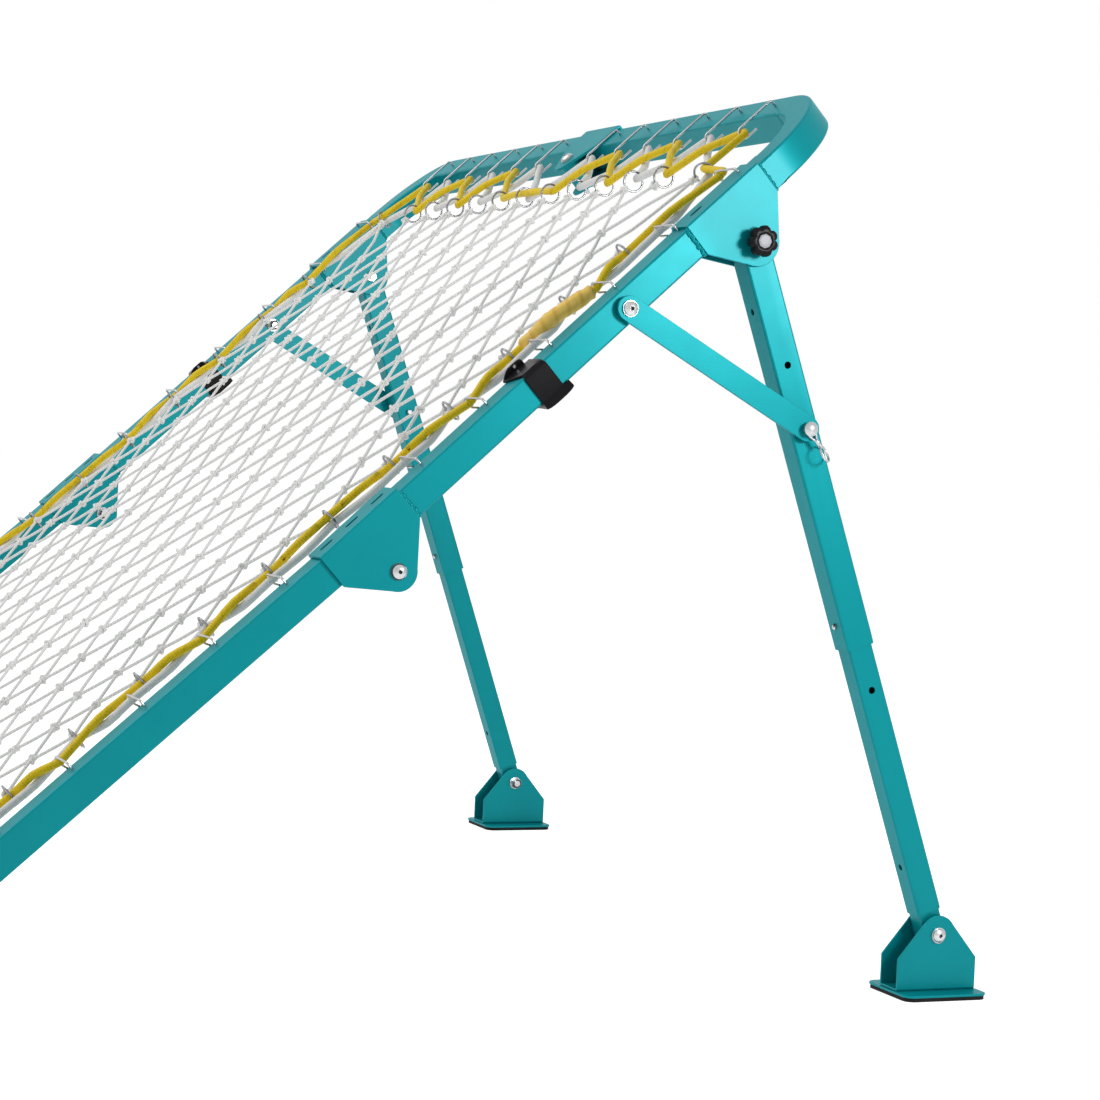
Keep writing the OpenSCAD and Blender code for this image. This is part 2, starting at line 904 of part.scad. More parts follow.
// Angle at which the wire stirrup and its split ring hang off the pin, from straight down
ring_hang = 37;

// Wire stirrup round the pin's neck, its ferrule, and the split ring at the end
module pin_ring() {
    w = stirrup_wire;
    eye_r = pin_d / 2 + fit + w / 2;
    tail = eye_r + 6;
    x = brace_out_x - side_x + fit + collar_t + neck_l / 2;
    color(steel) on_leg() translate([x, 0, -lock_at]) rotate([ring_hang - leg_lean, 0, 0]) {
        rotate([0, 90, 0]) rotate_extrude() translate([eye_r, 0]) circle(d = w, $fn = 16);
        for (s = [-1, 1]) {
            translate([0, s * eye_r * 0.7, -eye_r * 0.7]) rotate([s * 45, 0, 0]) translate([0, 0, -tail]) {
                cylinder(h = tail, d = w, $fn = 16);
            }
        }
        translate([0, 0, -stirrup_l + 3]) cylinder(h = 10, d = 2.4 * w, $fn = 24);
        translate([0, 0, -stirrup_l - split_ring_d / 2 + w]) rotate([0, 90, 0]) {
            rotate_extrude() translate([split_ring_d / 2 - w / 2, 0]) circle(d = w, $fn = 16);
        }
    }
}

module brace_right() {
    brace();
}

module brace_left() {
    left() brace();
}

module brace_bolt_right() {
    brace_bolt();
}

module brace_bolt_left() {
    left() brace_bolt();
}

module lock_pin_right() {
    lock_pin();
}

module lock_pin_left() {
    left() lock_pin();
}

module pin_ring_right() {
    pin_ring();
}

module pin_ring_left() {
    left() pin_ring();
}

// ---------- hooks and rings ----------

// Hook with its tip through the front face at the origin and its reach along -X
module hook() {
    r = hook_wire / 2;
    translate([0, 0, -hook_tip_l]) cylinder(h = hook_tip_l + hook_rise, r = r, $fn = 16);
    translate([0, 0, hook_rise]) sphere(r, $fn = 16);
    translate([-hook_reach, 0, hook_rise]) rotate([0, 90, 0]) cylinder(h = hook_reach, r = r, $fn = 16);
    translate([-hook_reach, 0, hook_t]) rotate([90, 0, 0]) rotate([0, 0, 90]) {
        rotate_extrude(angle = 180, $fn = 32) translate([hook_bend_r, 0]) circle(r, $fn = 16);
    }
    translate([-hook_reach, 0, hook_t - hook_bend_r]) rotate([0, 90, 0]) {
        cylinder(h = hook_return_l, r = r, $fn = 16);
    }
}

module half_hooks() {
    for (m = [0, 1]) {
        mirror([m, 0, 0]) quarter_hook_places() hook();
    }
}

module upper_hooks() {
    color(steel) upper_half() half_hooks();
}

module lower_hooks() {
    color(steel) lower_half() mirror([0, 1, 0]) half_hooks();
}

// Ring on an edge knot at the origin, standing square to the net, with the knot on its -X side
module net_ring() {
    translate([seat + ring_d / 2, 0, net_rise]) rotate([90, 0, 0]) {
        rotate_extrude($fn = 32) translate([ring_d / 2 - ring_wire / 2, 0]) circle(d = ring_wire, $fn = 16);
    }
}

// Rings of one half: first is 0 where the row on the hinge line belongs to this half, 1 where not
module half_rings(first) {
    for (m = [0, 1]) {
        mirror([m, 0, 0]) {
            for (j = [first:rings_half]) {
                translate([net_half_w, j * cell_l, 0]) net_ring();
            }
            for (i = [1 - m:rings_half]) {
                translate([i * cell_w, net_half_l, 0]) rotate([0, 0, 90]) net_ring();
            }
            translate(corner_knot) rotate([0, 0, 45]) net_ring();
        }
    }
}

module upper_rings() {
    color(steel) upper_half() half_rings(0);
}

module lower_rings() {
    color(steel) lower_half() mirror([0, 1, 0]) half_rings(1);
}

// ---------- net ----------

// Diamond mesh of the upper half of the net, flat, from just past the hinge line to the corner rings
module half_mesh() {
    slope = atan2(cell_l, cell_w);
    long = 2 * norm([net_half_w, net_half_l]);
    last = 2 * cells - 5;
    translate([0, 0, net_rise - twine_d / 2]) linear_extrude(twine_d) {
        intersection() {
            translate([-net_half_w, mesh_gap]) square([2 * net_half_w, net_half_l - mesh_gap]);
            for (c = [-last:2:last], m = [-1, 1]) {
                translate([c * cell_w / 2, 0]) rotate(m * slope) square([long, twine_d], center = true);
            }
        }
        for (x = [-1, 1]) {
            mirror([x < 0 ? 1 : 0, 0]) translate([net_half_w - cell_w / 2, net_half_l - 1.2 * twine_d]) {
                square([cell_w / 4, twine_d]);
            }
        }
    }
}

// Knots of the row on the hinge line, which join the two halves of the mesh
module middle_knots() {
    translate([0, pivot_y, pivot_z]) rotate([mid_tilt, 0, 0]) translate([0, 0, pivot_drop + net_rise]) {
        for (c = [2 - cells:2:cells - 2]) {
            translate([c * cell_w / 2, 0, 0]) sphere(knot_r);
        }
        for (x = [-1, 1]) {
            translate([x * (net_half_w - knot_r - seat), 0, 0]) sphere(knot_r);
        }
    }
}

module net() {
    color(twine) {
        upper_half() half_mesh();
        lower_half() mirror([0, 1, 0]) half_mesh();
        middle_knots();
    }
}

// ---------- cords ----------

// A cord's station on one edge of the frame, as [along, out, t]: on a hook or in a ring
function on_hook(i, odd) = i != 0 && abs(i) % 2 == odd;
function station(i, odd, pitch, cell, hook_out, ring_out) = on_hook(i, odd)
    ? [i * pitch, hook_out + 2 * seat, hook_t]
    : i == 0
        ? [0, ring_out - cord_in_ring + cords_in_ring, net_rise + (1 - 2 * odd) * stack_t]
        : [i * cell, ring_out, net_rise];

// Point where the two cords cross between stations a and b
function crossing(a, b, odd) = [(a[0] + b[0]) / 2, (a[1] + b[1]) / 2, cross_t + (1 - 2 * odd) * cord_lift];

// Point past an edge's last station: yellow turns behind its hook, white passes under yellow
function beyond(odd, pitch, cell, hook_out, ring_out) = odd == 0
    ? [hooks_half * pitch + cord_d, hook_out + 2 * seat - cord_d / 2, hook_t]
    : crossing([rings_half * cell, ring_out], [hooks_half * pitch, hook_out], odd);

function flipped(p) = [-p[0], p[1], p[2]];

// All stations of one edge with a crossing between each pair of them
function edge(odd, pitch, cell, hook_out, ring_out) =
    let (
        last = hooks_half - odd,
        stops = [for (i = [-last:last]) station(i, odd, pitch, cell, hook_out, ring_out)],
        end = beyond(odd, pitch, cell, hook_out, ring_out)
    )
    concat(
        [flipped(end)],
        [for (i = [0:2 * last - 1]) each [stops[i], crossing(stops[i], stops[i + 1], odd)]],
        [stops[2 * last], end]
    );

// Both cords share the corner rings
function corner(x, y, odd) =
    let (d = cords_in_ring / sqrt(2))
    [x * (corner_knot[0] + d), y * (corner_knot[1] + d), net_rise + (1 - 2 * odd) * stack_t];

// Closed route of a cord in the flat frame, anticlockwise: odd is 0 for yellow and 1 for white
function route(odd) =
    let (
        side = edge(odd, side_pitch, cell_l, hook_out_side, net_half_w + cord_in_ring),
        end = edge(odd, end_pitch, cell_w, hook_out_end, net_half_l + cord_in_ring)
    )
    concat(
        [for (p = side) [p[1], p[0], p[2]]], [corner(1, 1, odd)],
        [for (p = end) [-p[0], p[1], p[2]]], [corner(-1, 1, odd)],
        [for (p = side) [-p[1], -p[0], p[2]]], [corner(-1, -1, odd)],
        [for (p = end) [p[0], -p[1], p[2]]], [corner(1, -1, odd)]
    );

// From the flat frame to the standing one, each half on its own tilt
function placed(p) =
    let (w = p[1] < 0 ? tilt_lower : tilt_upper, t = p[2] + pivot_drop)
    [p[0], pivot_y + p[1] * cos(w) - t * sin(w), pivot_z + p[1] * sin(w) + t * cos(w)];

function unit(v) = v / norm(v);

cord_sides = 8;

// Closed tube along a list of points
module cord(points) {
    n = len(points);
    up = [0, -sin(tilt_upper), cos(tilt_upper)];
    verts = [for (i = [0:n - 1])
        let (
            along = unit(points[(i + 1) % n] - points[(i + n - 1) % n]),
            across = unit(cross(along, up)),
            rise = cross(across, along)
        )
        for (k = [0:cord_sides - 1])
            let (a = (k + 0.5) * 360 / cord_sides)
            points[i] + cord_d / 2 * (cos(a) * across + sin(a) * rise)];
    faces = [for (i = [0:n - 1], k = [0:cord_sides - 1])
        let (
            a = i * cord_sides + k,
            b = i * cord_sides + (k + 1) % cord_sides,
            c = ((i + 1) % n) * cord_sides + (k + 1) % cord_sides,
            d = ((i + 1) % n) * cord_sides + k
        )
        each [[a, b, c], [a, c, d]]];
    polyhedron(verts, faces, convexity = 10);
}

module yellow_cord() {
    color(yellow) cord([for (p = route(0)) placed(p)]);
}

module white_cord() {
    color(white) cord([for (p = route(1)) placed(p)]);
}

// Tape sleeve over the yellow cord's joint, between its third ring and fourth hook on the right
sleeve_wall = 0.7;

module cord_sleeve() {
    stations = edge(0, side_pitch, cell_l, hook_out_side, net_half_w + cord_in_ring);
    middle = len(stations) - 7;
    a = stations[middle];
    b = stations[middle + 1];
    from = placed([a[1], a[0], a[2]]);
    to = placed([b[1], b[0], b[2]]);
    d = to - from;
    mid = (from + to) / 2;
    color(yellow) translate(mid) rotate([0, acos(d[2] / norm(d)), atan2(d[1], d[0])]) difference() {
        cylinder(h = sleeve_l, r = cord_d / 2 + seat / 2 + sleeve_wall, center = true);
        cylinder(h = 2 * sleeve_l, r = cord_d / 2 + seat / 2, center = true);
    }
}

upper_left_tube();
upper_right_tube();
lower_left_tube();
lower_right_tube();
top_bar_bracket();
top_bar_lug();
top_bar_bolt();
bottom_bar_bracket();
bottom_bar_lug();
bottom_bar_bolt();
side_hinge_bracket_left();
side_hinge_bracket_right();
side_hinge_lug_left();
side_hinge_lug_right();
side_hinge_bolt_left();
side_hinge_bolt_right();
leg_bracket_left();
leg_bracket_right();
leg_pivot_bolt_left();
leg_pivot_bolt_right();
star_knob_left();
star_knob_right();
leg_clip_left();
leg_clip_right();
leg_outer_left();
leg_outer_right();
leg_slider_left();
leg_slider_right();
leg_tongue_left();
leg_tongue_right();
button_spring_left();
button_spring_right();
snap_button_left();
snap_button_right();
foot_bracket_left();
foot_bracket_right();
foot_base_left();
foot_base_right();
foot_pad_left();
foot_pad_right();
foot_bolt_left();
foot_bolt_right();
brace_left();
brace_right();
brace_bolt_left();
brace_bolt_right();
lock_pin_left();
lock_pin_right();
pin_ring_left();
pin_ring_right();
upper_hooks();
lower_hooks();
upper_rings();
lower_rings();
net();
yellow_cord();
white_cord();
cord_sleeve();
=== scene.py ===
import bpy
import bmesh
import json
import mathutils
import random
from math import atan2, copysign, cos, hypot, pi, radians, sin, sqrt
from mathutils import Matrix, Vector

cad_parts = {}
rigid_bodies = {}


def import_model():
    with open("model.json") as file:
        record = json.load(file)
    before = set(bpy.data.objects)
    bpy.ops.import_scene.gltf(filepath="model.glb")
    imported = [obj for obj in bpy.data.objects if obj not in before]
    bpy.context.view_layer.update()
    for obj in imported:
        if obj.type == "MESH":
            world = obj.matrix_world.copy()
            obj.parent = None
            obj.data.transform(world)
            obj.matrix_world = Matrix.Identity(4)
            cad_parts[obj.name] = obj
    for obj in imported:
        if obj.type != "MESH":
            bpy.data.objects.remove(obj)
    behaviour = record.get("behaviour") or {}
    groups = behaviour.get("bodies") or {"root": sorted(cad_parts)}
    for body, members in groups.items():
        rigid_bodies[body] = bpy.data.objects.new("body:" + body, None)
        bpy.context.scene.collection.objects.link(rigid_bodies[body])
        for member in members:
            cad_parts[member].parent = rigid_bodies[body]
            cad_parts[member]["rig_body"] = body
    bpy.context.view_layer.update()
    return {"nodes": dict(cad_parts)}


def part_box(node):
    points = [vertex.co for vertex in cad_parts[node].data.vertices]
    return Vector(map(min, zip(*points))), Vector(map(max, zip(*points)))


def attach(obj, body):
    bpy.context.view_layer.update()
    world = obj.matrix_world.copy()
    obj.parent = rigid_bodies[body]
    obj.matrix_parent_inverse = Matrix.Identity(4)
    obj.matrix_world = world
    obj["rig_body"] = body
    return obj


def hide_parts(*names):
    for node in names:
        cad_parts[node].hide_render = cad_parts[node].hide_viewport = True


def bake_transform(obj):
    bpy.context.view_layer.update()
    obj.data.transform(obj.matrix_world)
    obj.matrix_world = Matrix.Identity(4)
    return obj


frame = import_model()
nodes = frame["nodes"]
scene = bpy.context.scene
sides = ("left", "right")
print("frame loaded,", len(nodes), "nodes")

# where the halves of the frame and the legs stand, in metres and degrees
stand = {
    "pivotY": -0.0662515, "pivotZ": 0.5245339, "drop": 0.07,
    "tiltLower": 41.3, "tiltUpper": 42.8,
    "halfW": 0.76, "halfL": 0.82, "tubeW": 0.04, "sideX": 0.74,
    "kneeY": 0.3769214, "kneeZ": 0.9349164, "lean": 19.2,
}


def turned(degrees, axis):
    return Matrix.Rotation(radians(degrees), 4, axis)


def halfMatrix(tilt):
    return (Matrix.Translation((0, stand["pivotY"], stand["pivotZ"])) @ turned(tilt, "X")
            @ Matrix.Translation((0, 0, stand["drop"])))


upperHalf = halfMatrix(stand["tiltUpper"])
lowerHalf = halfMatrix(stand["tiltLower"])
onLeg = Matrix.Translation((stand["sideX"], stand["kneeY"], stand["kneeZ"])) @ turned(stand["lean"], "X")
mirrorX = Matrix.Scale(-1, 4, (1, 0, 0))
flips = {"left": mirrorX, "right": Matrix.Identity(4)}  # both sides are laid out as the right one


def onFrame(x, s, t):
    # s runs up the frame from the hinge line, t stands off its front face
    return (upperHalf if s >= 0 else lowerHalf) @ Vector((x, s, t))


# node helpers

def newTree(name, kind, inputs, outputs):
    # inputs are (label, type, value), outputs are (label, type)
    tree = bpy.data.node_groups.new(name, kind)
    for label, socketType, value in inputs:
        socket = tree.interface.new_socket(label, in_out="INPUT", socket_type="NodeSocket" + socketType)
        if value is not None:
            socket.default_value = value
    for label, socketType in outputs:
        tree.interface.new_socket(label, in_out="OUTPUT", socket_type="NodeSocket" + socketType)
    return tree, tree.nodes.new("NodeGroupInput"), tree.nodes.new("NodeGroupOutput")


def feed(tree, socket, value):
    # a plain value or colour sets the socket, another node's output is linked to it
    if isinstance(value, (int, float, str)):
        socket.default_value = value
    elif isinstance(value, tuple):
        socket.default_value = (*value, 1.0)
    elif value is not None:
        tree.links.new(value, socket)


def addNode(tree, kind, sockets, **settings):
    node = tree.nodes.new(kind)
    for name, value in settings.items():
        setattr(node, name, value)
    for label, value in sockets.items():
        feed(tree, node.inputs[label], value)
    return node


def math2(tree, kind, a, b=None, clamp=False):
    return addNode(tree, "ShaderNodeMath", {0: a, 1: b}, operation=kind, use_clamp=clamp).outputs[0]


def remap(tree, value, low, high, toLow=0.0, toHigh=1.0):
    return addNode(tree, "ShaderNodeMapRange", {
        "Value": value, "From Min": low, "From Max": high, "To Min": toLow, "To Max": toHigh}).outputs["Result"]


def noise(tree, vector, scale, detail=2.0, rough=0.5):
    return addNode(tree, "ShaderNodeTexNoise", {
        "Vector": vector, "Scale": scale, "Detail": detail, "Roughness": rough}).outputs["Fac"]


def mixColour(tree, factor, a, b):
    mix = addNode(tree, "ShaderNodeMix", {"Factor": factor, "A": a, "B": b}, data_type="RGBA")
    return mix.outputs["Result"]


# shader groups shared by the finishes

grain = {"toneDetail": 4.0, "toneRough": 0.6, "tone": (0.3, 0.7)}
scuffing = {"broadScale": 0.12, "broad": (0.52, 0.7), "fineDetail": 6.0, "fineRough": 0.75,
            "fine": (0.56, 0.66)}
laying = {"gap": (-0.35, -0.95), "fleckTurns": 0.25, "fleck": (0.9, 0.97), "fleckSide": (0.1, 0.5)}


def makeSkinGroup():
    # peel of a sprayed or moulded surface: broad tone, fine height
    group, start, end = newTree("skinGrain", "ShaderNodeTree", [
        ("Vector", "Vector", None),
        ("Peel Scale", "Float", 500.0),
        ("Tone Scale", "Float", 6.0),
    ], [("Tone", "Float"), ("Height", "Float")])
    given = start.outputs
    tone = noise(group, given["Vector"], given["Tone Scale"], grain["toneDetail"], grain["toneRough"])
    feed(group, end.inputs["Tone"], remap(group, tone, *grain["tone"]))
    feed(group, end.inputs["Height"], noise(group, given["Vector"], given["Peel Scale"]))
    return group


def makeScuffGroup():
    # rare short rubs and specks that handling leaves
    group, start, end = newTree("handlingScuffs", "ShaderNodeTree", [
        ("Vector", "Vector", None),
        ("Scale", "Float", 40.0),
        ("Amount", "Float", 0.1),
    ], [("Mask", "Float")])
    given = start.outputs
    broad = noise(group, given["Vector"], math2(group, "MULTIPLY", given["Scale"], scuffing["broadScale"]))
    fine = noise(group, given["Vector"], given["Scale"], scuffing["fineDetail"], scuffing["fineRough"])
    broad, fine = remap(group, broad, *scuffing["broad"]), remap(group, fine, *scuffing["fine"])
    both = math2(group, "MULTIPLY", broad, fine)
    feed(group, end.inputs["Mask"], math2(group, "MULTIPLY", both, given["Amount"], True))
    return group


def makeLayGroup():
    # strands laid round a cord: U goes once round it, V counts pitches along it
    group, start, end = newTree("strandLay", "ShaderNodeTree", [
        ("UV", "Vector", None),
        ("Strands", "Float", 3.0),
        ("Cross", "Float", 0.0),
    ], [("Height", "Float"), ("Groove Shade", "Float"), ("Fleck", "Float")])
    cross = start.outputs["Cross"]
    u, v = addNode(group, "ShaderNodeSeparateXYZ", {0: start.outputs["UV"]}).outputs[:2]

    def calc(kind, a, b):
        return math2(group, kind, a, b)

    def wave(cycles):
        return math2(group, "SINE", calc("MULTIPLY", cycles, 2 * pi))

    around = calc("MULTIPLY", u, start.outputs["Strands"])
    lay, back = wave(calc("ADD", around, v)), wave(calc("SUBTRACT", around, v))
    plain = calc("MULTIPLY", lay, calc("SUBTRACT", 1.0, cross))
    height = calc("ADD", plain, calc("MULTIPLY", calc("MULTIPLY", lay, back), cross))
    slow = wave(calc("ADD", u, calc("MULTIPLY", v, laying["fleckTurns"])))
    dots = calc("MULTIPLY", remap(group, slow, *laying["fleck"]), remap(group, back, *laying["fleckSide"]))
    feed(group, end.inputs["Height"], remap(group, height, -1.0, 1.0))
    # mask of the grooves between strands, where the laid finishes paint shade
    feed(group, end.inputs["Groove Shade"], remap(group, height, *laying["gap"]))
    feed(group, end.inputs["Fleck"], dots)
    return group


skinGrain = makeSkinGroup()
handlingScuffs = makeScuffGroup()
strandLay = makeLayGroup()


# finishes

def finishNodes(name, roughness, metallic=0.0):
    finish = bpy.data.materials.new(name)
    finish.use_nodes = True
    tree = finish.node_tree
    shader = tree.nodes["Principled BSDF"]
    shader.inputs["Roughness"].default_value = roughness
    shader.inputs["Metallic"].default_value = metallic
    return finish, tree, shader, tree.nodes.new("ShaderNodeTexCoord").outputs


def placeGroup(tree, group, sockets):
    return addNode(tree, "ShaderNodeGroup", sockets, node_tree=group).outputs


def addBump(tree, shader, height, strength, distance):
    bump = addNode(tree, "ShaderNodeBump", {"Height": height, "Strength": strength, "Distance": distance})
    feed(tree, shader.inputs["Normal"], bump.outputs["Normal"])


# what a sprayed finish has unless its own look says otherwise
sprayLook = {"metal": 0.0, "specular": 0.5, "glint": (1.0, 1.0, 1.0), "coat": 0.0, "coatRough": 0.2,
             "peel": 900.0, "scuffScale": 200.0, "scuffs": 0.3, "bump": 0.1, "peelDepth": 0.0002,
             "roughest": 1.12, "smoothest": 0.9, "scuffRough": 0.15}


def makeSprayed(name, colour, deep, rubbed, ownLook):
    # sprayed, moulded or plated surface with tone, peel and scuffs
    look = {**sprayLook, **ownLook}
    finish, tree, shader, place = finishNodes(name, look["rough"], look["metal"])
    for label, key in (("Specular IOR Level", "specular"), ("Specular Tint", "glint"), ("Coat Weight", "coat"),
                       ("Coat Roughness", "coatRough")):
        feed(tree, shader.inputs[label], look[key])
    skin = placeGroup(tree, skinGrain, {
        "Vector": place["Object"], "Peel Scale": look["peel"], "Tone Scale": look["tone"]})
    scuff = placeGroup(tree, handlingScuffs, {
        "Vector": place["Object"], "Scale": look["scuffScale"], "Amount": look["scuffs"]})
    base = mixColour(tree, skin["Tone"], deep, colour)
    feed(tree, shader.inputs["Base Color"], mixColour(tree, scuff["Mask"], base, rubbed))
    roughest, smoothest = (look["rough"] * look[k] for k in ("roughest", "smoothest"))
    rough = remap(tree, skin["Tone"], 0.0, 1.0, roughest, smoothest)
    rubs = math2(tree, "MULTIPLY", scuff["Mask"], look["scuffRough"])
    feed(tree, shader.inputs["Roughness"], math2(tree, "ADD", rough, rubs))
    addBump(tree, shader, skin["Height"], look["bump"], look["peelDepth"])
    return finish


# what every laid finish shares
laidLook = {"specular": 0.25, "fuzzDetail": 3.0, "fuzzTone": (0.35, 0.75), "fuzzShade": 0.35, "fuzzHeight": 0.4}


def makeLaid(name, colour, gap, fleck, look):
    # twisted or braided cord, patterned by the piece's UV map
    finish, tree, shader, place = finishNodes(name, look["rough"])
    shader.inputs["Sheen Weight"].default_value = look["sheen"]
    shader.inputs["Specular IOR Level"].default_value = laidLook["specular"]
    lay = placeGroup(tree, strandLay, {"UV": place["UV"], "Strands": look["strands"], "Cross": look["cross"]})
    fuzz = noise(tree, place["Object"], look["fuzz"], laidLook["fuzzDetail"])
    # the gap colour in the grooves between strands is painted shade; the fuzz below also mixes it in at random
    base = mixColour(tree, math2(tree, "MULTIPLY", lay["Groove Shade"], look["grooveShadeDepth"], True), colour, gap)
    base = mixColour(tree, math2(tree, "MULTIPLY", lay["Fleck"], look["flecks"], True), base, fleck)
    fuzzy = remap(tree, fuzz, *laidLook["fuzzTone"], 0.0, laidLook["fuzzShade"])
    feed(tree, shader.inputs["Base Color"], mixColour(tree, fuzzy, base, gap))
    height = math2(tree, "ADD", lay["Height"], math2(tree, "MULTIPLY", fuzz, laidLook["fuzzHeight"]))
    addBump(tree, shader, height, look["bump"], look["depth"])
    return finish


tealCoat = makeSprayed("tealCoat", (0.0006, 0.27, 0.3), (0.0005, 0.235, 0.265), (0.02, 0.33, 0.35), {
    "rough": 0.42, "metal": 0.36, "specular": 0.05, "glint": (0.2, 0.85, 0.9), "coat": 0.17, "coatRough": 0.28,
    "peel": 620.0, "tone": 5.0, "scuffScale": 60.0, "scuffs": 0.1, "bump": 0.14, "peelDepth": 0.0004})
zincPlate = makeSprayed("zincPlate", (0.6, 0.61, 0.62), (0.42, 0.43, 0.44), (0.3, 0.3, 0.3), {
    "rough": 0.27, "metal": 1.0, "tone": 90.0, "scuffScale": 240.0, "scuffs": 0.35, "bump": 0.15,
    "peelDepth": 0.0003})
chromeLook = {"rough": 0.14, "metal": 1.0, "peel": 60.0, "tone": 25.0, "scuffs": 0.1, "bump": 0.02,
              "peelDepth": 0.0001}
hookChrome = makeSprayed("hookChrome", (0.47, 0.475, 0.48), (0.36, 0.365, 0.37), (0.25, 0.25, 0.25), chromeLook)
ringChrome = makeSprayed("ringChrome", (0.25, 0.255, 0.26), (0.2, 0.205, 0.21), (0.16, 0.16, 0.16), chromeLook)
springSteel = makeSprayed("springSteel", (0.33, 0.33, 0.34), (0.24, 0.24, 0.25), (0.15, 0.13, 0.12), {
    "rough": 0.34, "metal": 1.0, "tone": 80.0})
# dark finish for the bolts' drive sockets: painted shade in the recess
socketPaintedShade = makeSprayed("socketPaintedShade", (0.1, 0.09, 0.085), (0.05, 0.045, 0.04), (0.16, 0.12, 0.09), {
    "rough": 0.6, "specular": 0.2, "tone": 200.0, "scuffScale": 300.0})
blackPlastic = makeSprayed("blackPlastic", (0.013, 0.012, 0.014), (0.008, 0.008, 0.009), (0.05, 0.05, 0.05), {
    "rough": 0.24, "specular": 0.07, "peel": 1100.0, "tone": 30.0, "scuffScale": 150.0, "scuffs": 0.25,
    "bump": 0.25, "peelDepth": 0.0003})
blackRubber = makeSprayed("blackRubber", (0.016, 0.016, 0.017), (0.009, 0.009, 0.01), (0.06, 0.058, 0.055), {
    "rough": 0.68, "specular": 0.15, "peel": 700.0, "tone": 25.0, "scuffScale": 90.0, "scuffs": 0.5,
    "bump": 0.5, "peelDepth": 0.0005})
# pale grey finish of the disc on the knob's face: a painted reflection of a softbox
knobPaintedReflection = makeSprayed("knobPaintedReflection", (0.43, 0.43, 0.46), (0.36, 0.36, 0.39), (0.3, 0.3, 0.32), {
    "rough": 0.3, "specular": 0.2, "tone": 60.0, "scuffs": 0.2})

braidLook = {"strands": 8.0, "cross": 1.0, "fuzz": 1200.0, "bump": 0.6, "depth": 0.0007}
# each cord's second colour is painted shade for the grooves between its strands
whiteTwine = makeLaid("whiteTwine", (0.93, 0.925, 0.9), (0.79, 0.78, 0.755), (0.7, 0.69, 0.67), {
    "rough": 0.75, "sheen": 0.25, "strands": 2.0, "cross": 0.0, "fuzz": 1500.0, "grooveShadeDepth": 0.4, "flecks": 0.0,
    "bump": 0.7, "depth": 0.0006})
yellowBungee = makeLaid("yellowBungee", (0.96, 0.69, 0.006), (0.52, 0.32, 0.002), (0.26, 0.17, 0.006), {
    **braidLook, "rough": 0.5, "sheen": 0.03, "grooveShadeDepth": 0.7, "flecks": 0.4})
whiteBungee = makeLaid("whiteBungee", (0.9, 0.895, 0.87), (0.55, 0.545, 0.53), (0.6, 0.6, 0.58), {
    **braidLook, "rough": 0.55, "sheen": 0.15, "grooveShadeDepth": 0.5, "flecks": 0.2})

tapeLook = {"rough": 0.42, "specular": 0.2, "deep": (0.95, 0.6, 0.11), "colour": (0.97, 0.68, 0.17),
            "seam": (0.7, 0.4, 0.06), "seamShadeDepth": 0.5, "peel": 260.0, "tone": 70.0,
            "bump": 0.5, "depth": 0.0006}


def makeTape():
    finish, tree, shader, place = finishNodes("sleeveTape", tapeLook["rough"])
    shader.inputs["Specular IOR Level"].default_value = tapeLook["specular"]
    skin = placeGroup(tree, skinGrain, {
        "Vector": place["Object"], "Peel Scale": tapeLook["peel"], "Tone Scale": tapeLook["tone"]})
    lay = placeGroup(tree, strandLay, {"UV": place["UV"], "Strands": 1.0, "Cross": 0.0})
    base = mixColour(tree, skin["Tone"], tapeLook["deep"], tapeLook["colour"])
    # the seam colour darkens the groove between the tape's turns: painted shade
    seam = math2(tree, "MULTIPLY", lay["Groove Shade"], tapeLook["seamShadeDepth"])
    feed(tree, shader.inputs["Base Color"], mixColour(tree, seam, base, tapeLook["seam"]))
    height = math2(tree, "ADD", lay["Height"], skin["Height"])
    addBump(tree, shader, height, tapeLook["bump"], tapeLook["depth"])
    return finish


sleeveTape = makeTape()
print("finishes ready")


# mesh helpers

def turns(count):
    # evenly spaced angles of one whole turn
    return [2 * pi * k / count for k in range(count)]


def addObject(name, data):
    obj = bpy.data.objects.new(name, data)
    scene.collection.objects.link(obj)
    return obj


def painted(mesh, finish):
    # one smooth finish over the whole mesh
    count = len(mesh.polygons)
    mesh.materials.clear()
    mesh.materials.append(finish)
    mesh.polygons.foreach_set("material_index", [0] * count)
    mesh.polygons.foreach_set("use_smooth", [True] * count)
    return mesh


def meshFrom(name, parts, finish):
    # parts: (points, faces, uv pairs for each corner)
    points, faces, uvs = [], [], []
    for partPoints, partFaces, partUvs in parts:
        base = len(points)
        points += [tuple(p) for p in partPoints]
        faces += [tuple(base + i for i in face) for face in partFaces]
        uvs += partUvs
    mesh = bpy.data.meshes.new(name)
    mesh.from_pydata(points, [], faces)
    layer = mesh.uv_layers.new(name="UVMap")
    layer.data.foreach_set("uv", [value for pair in uvs for value in pair])
    return painted(mesh, finish)


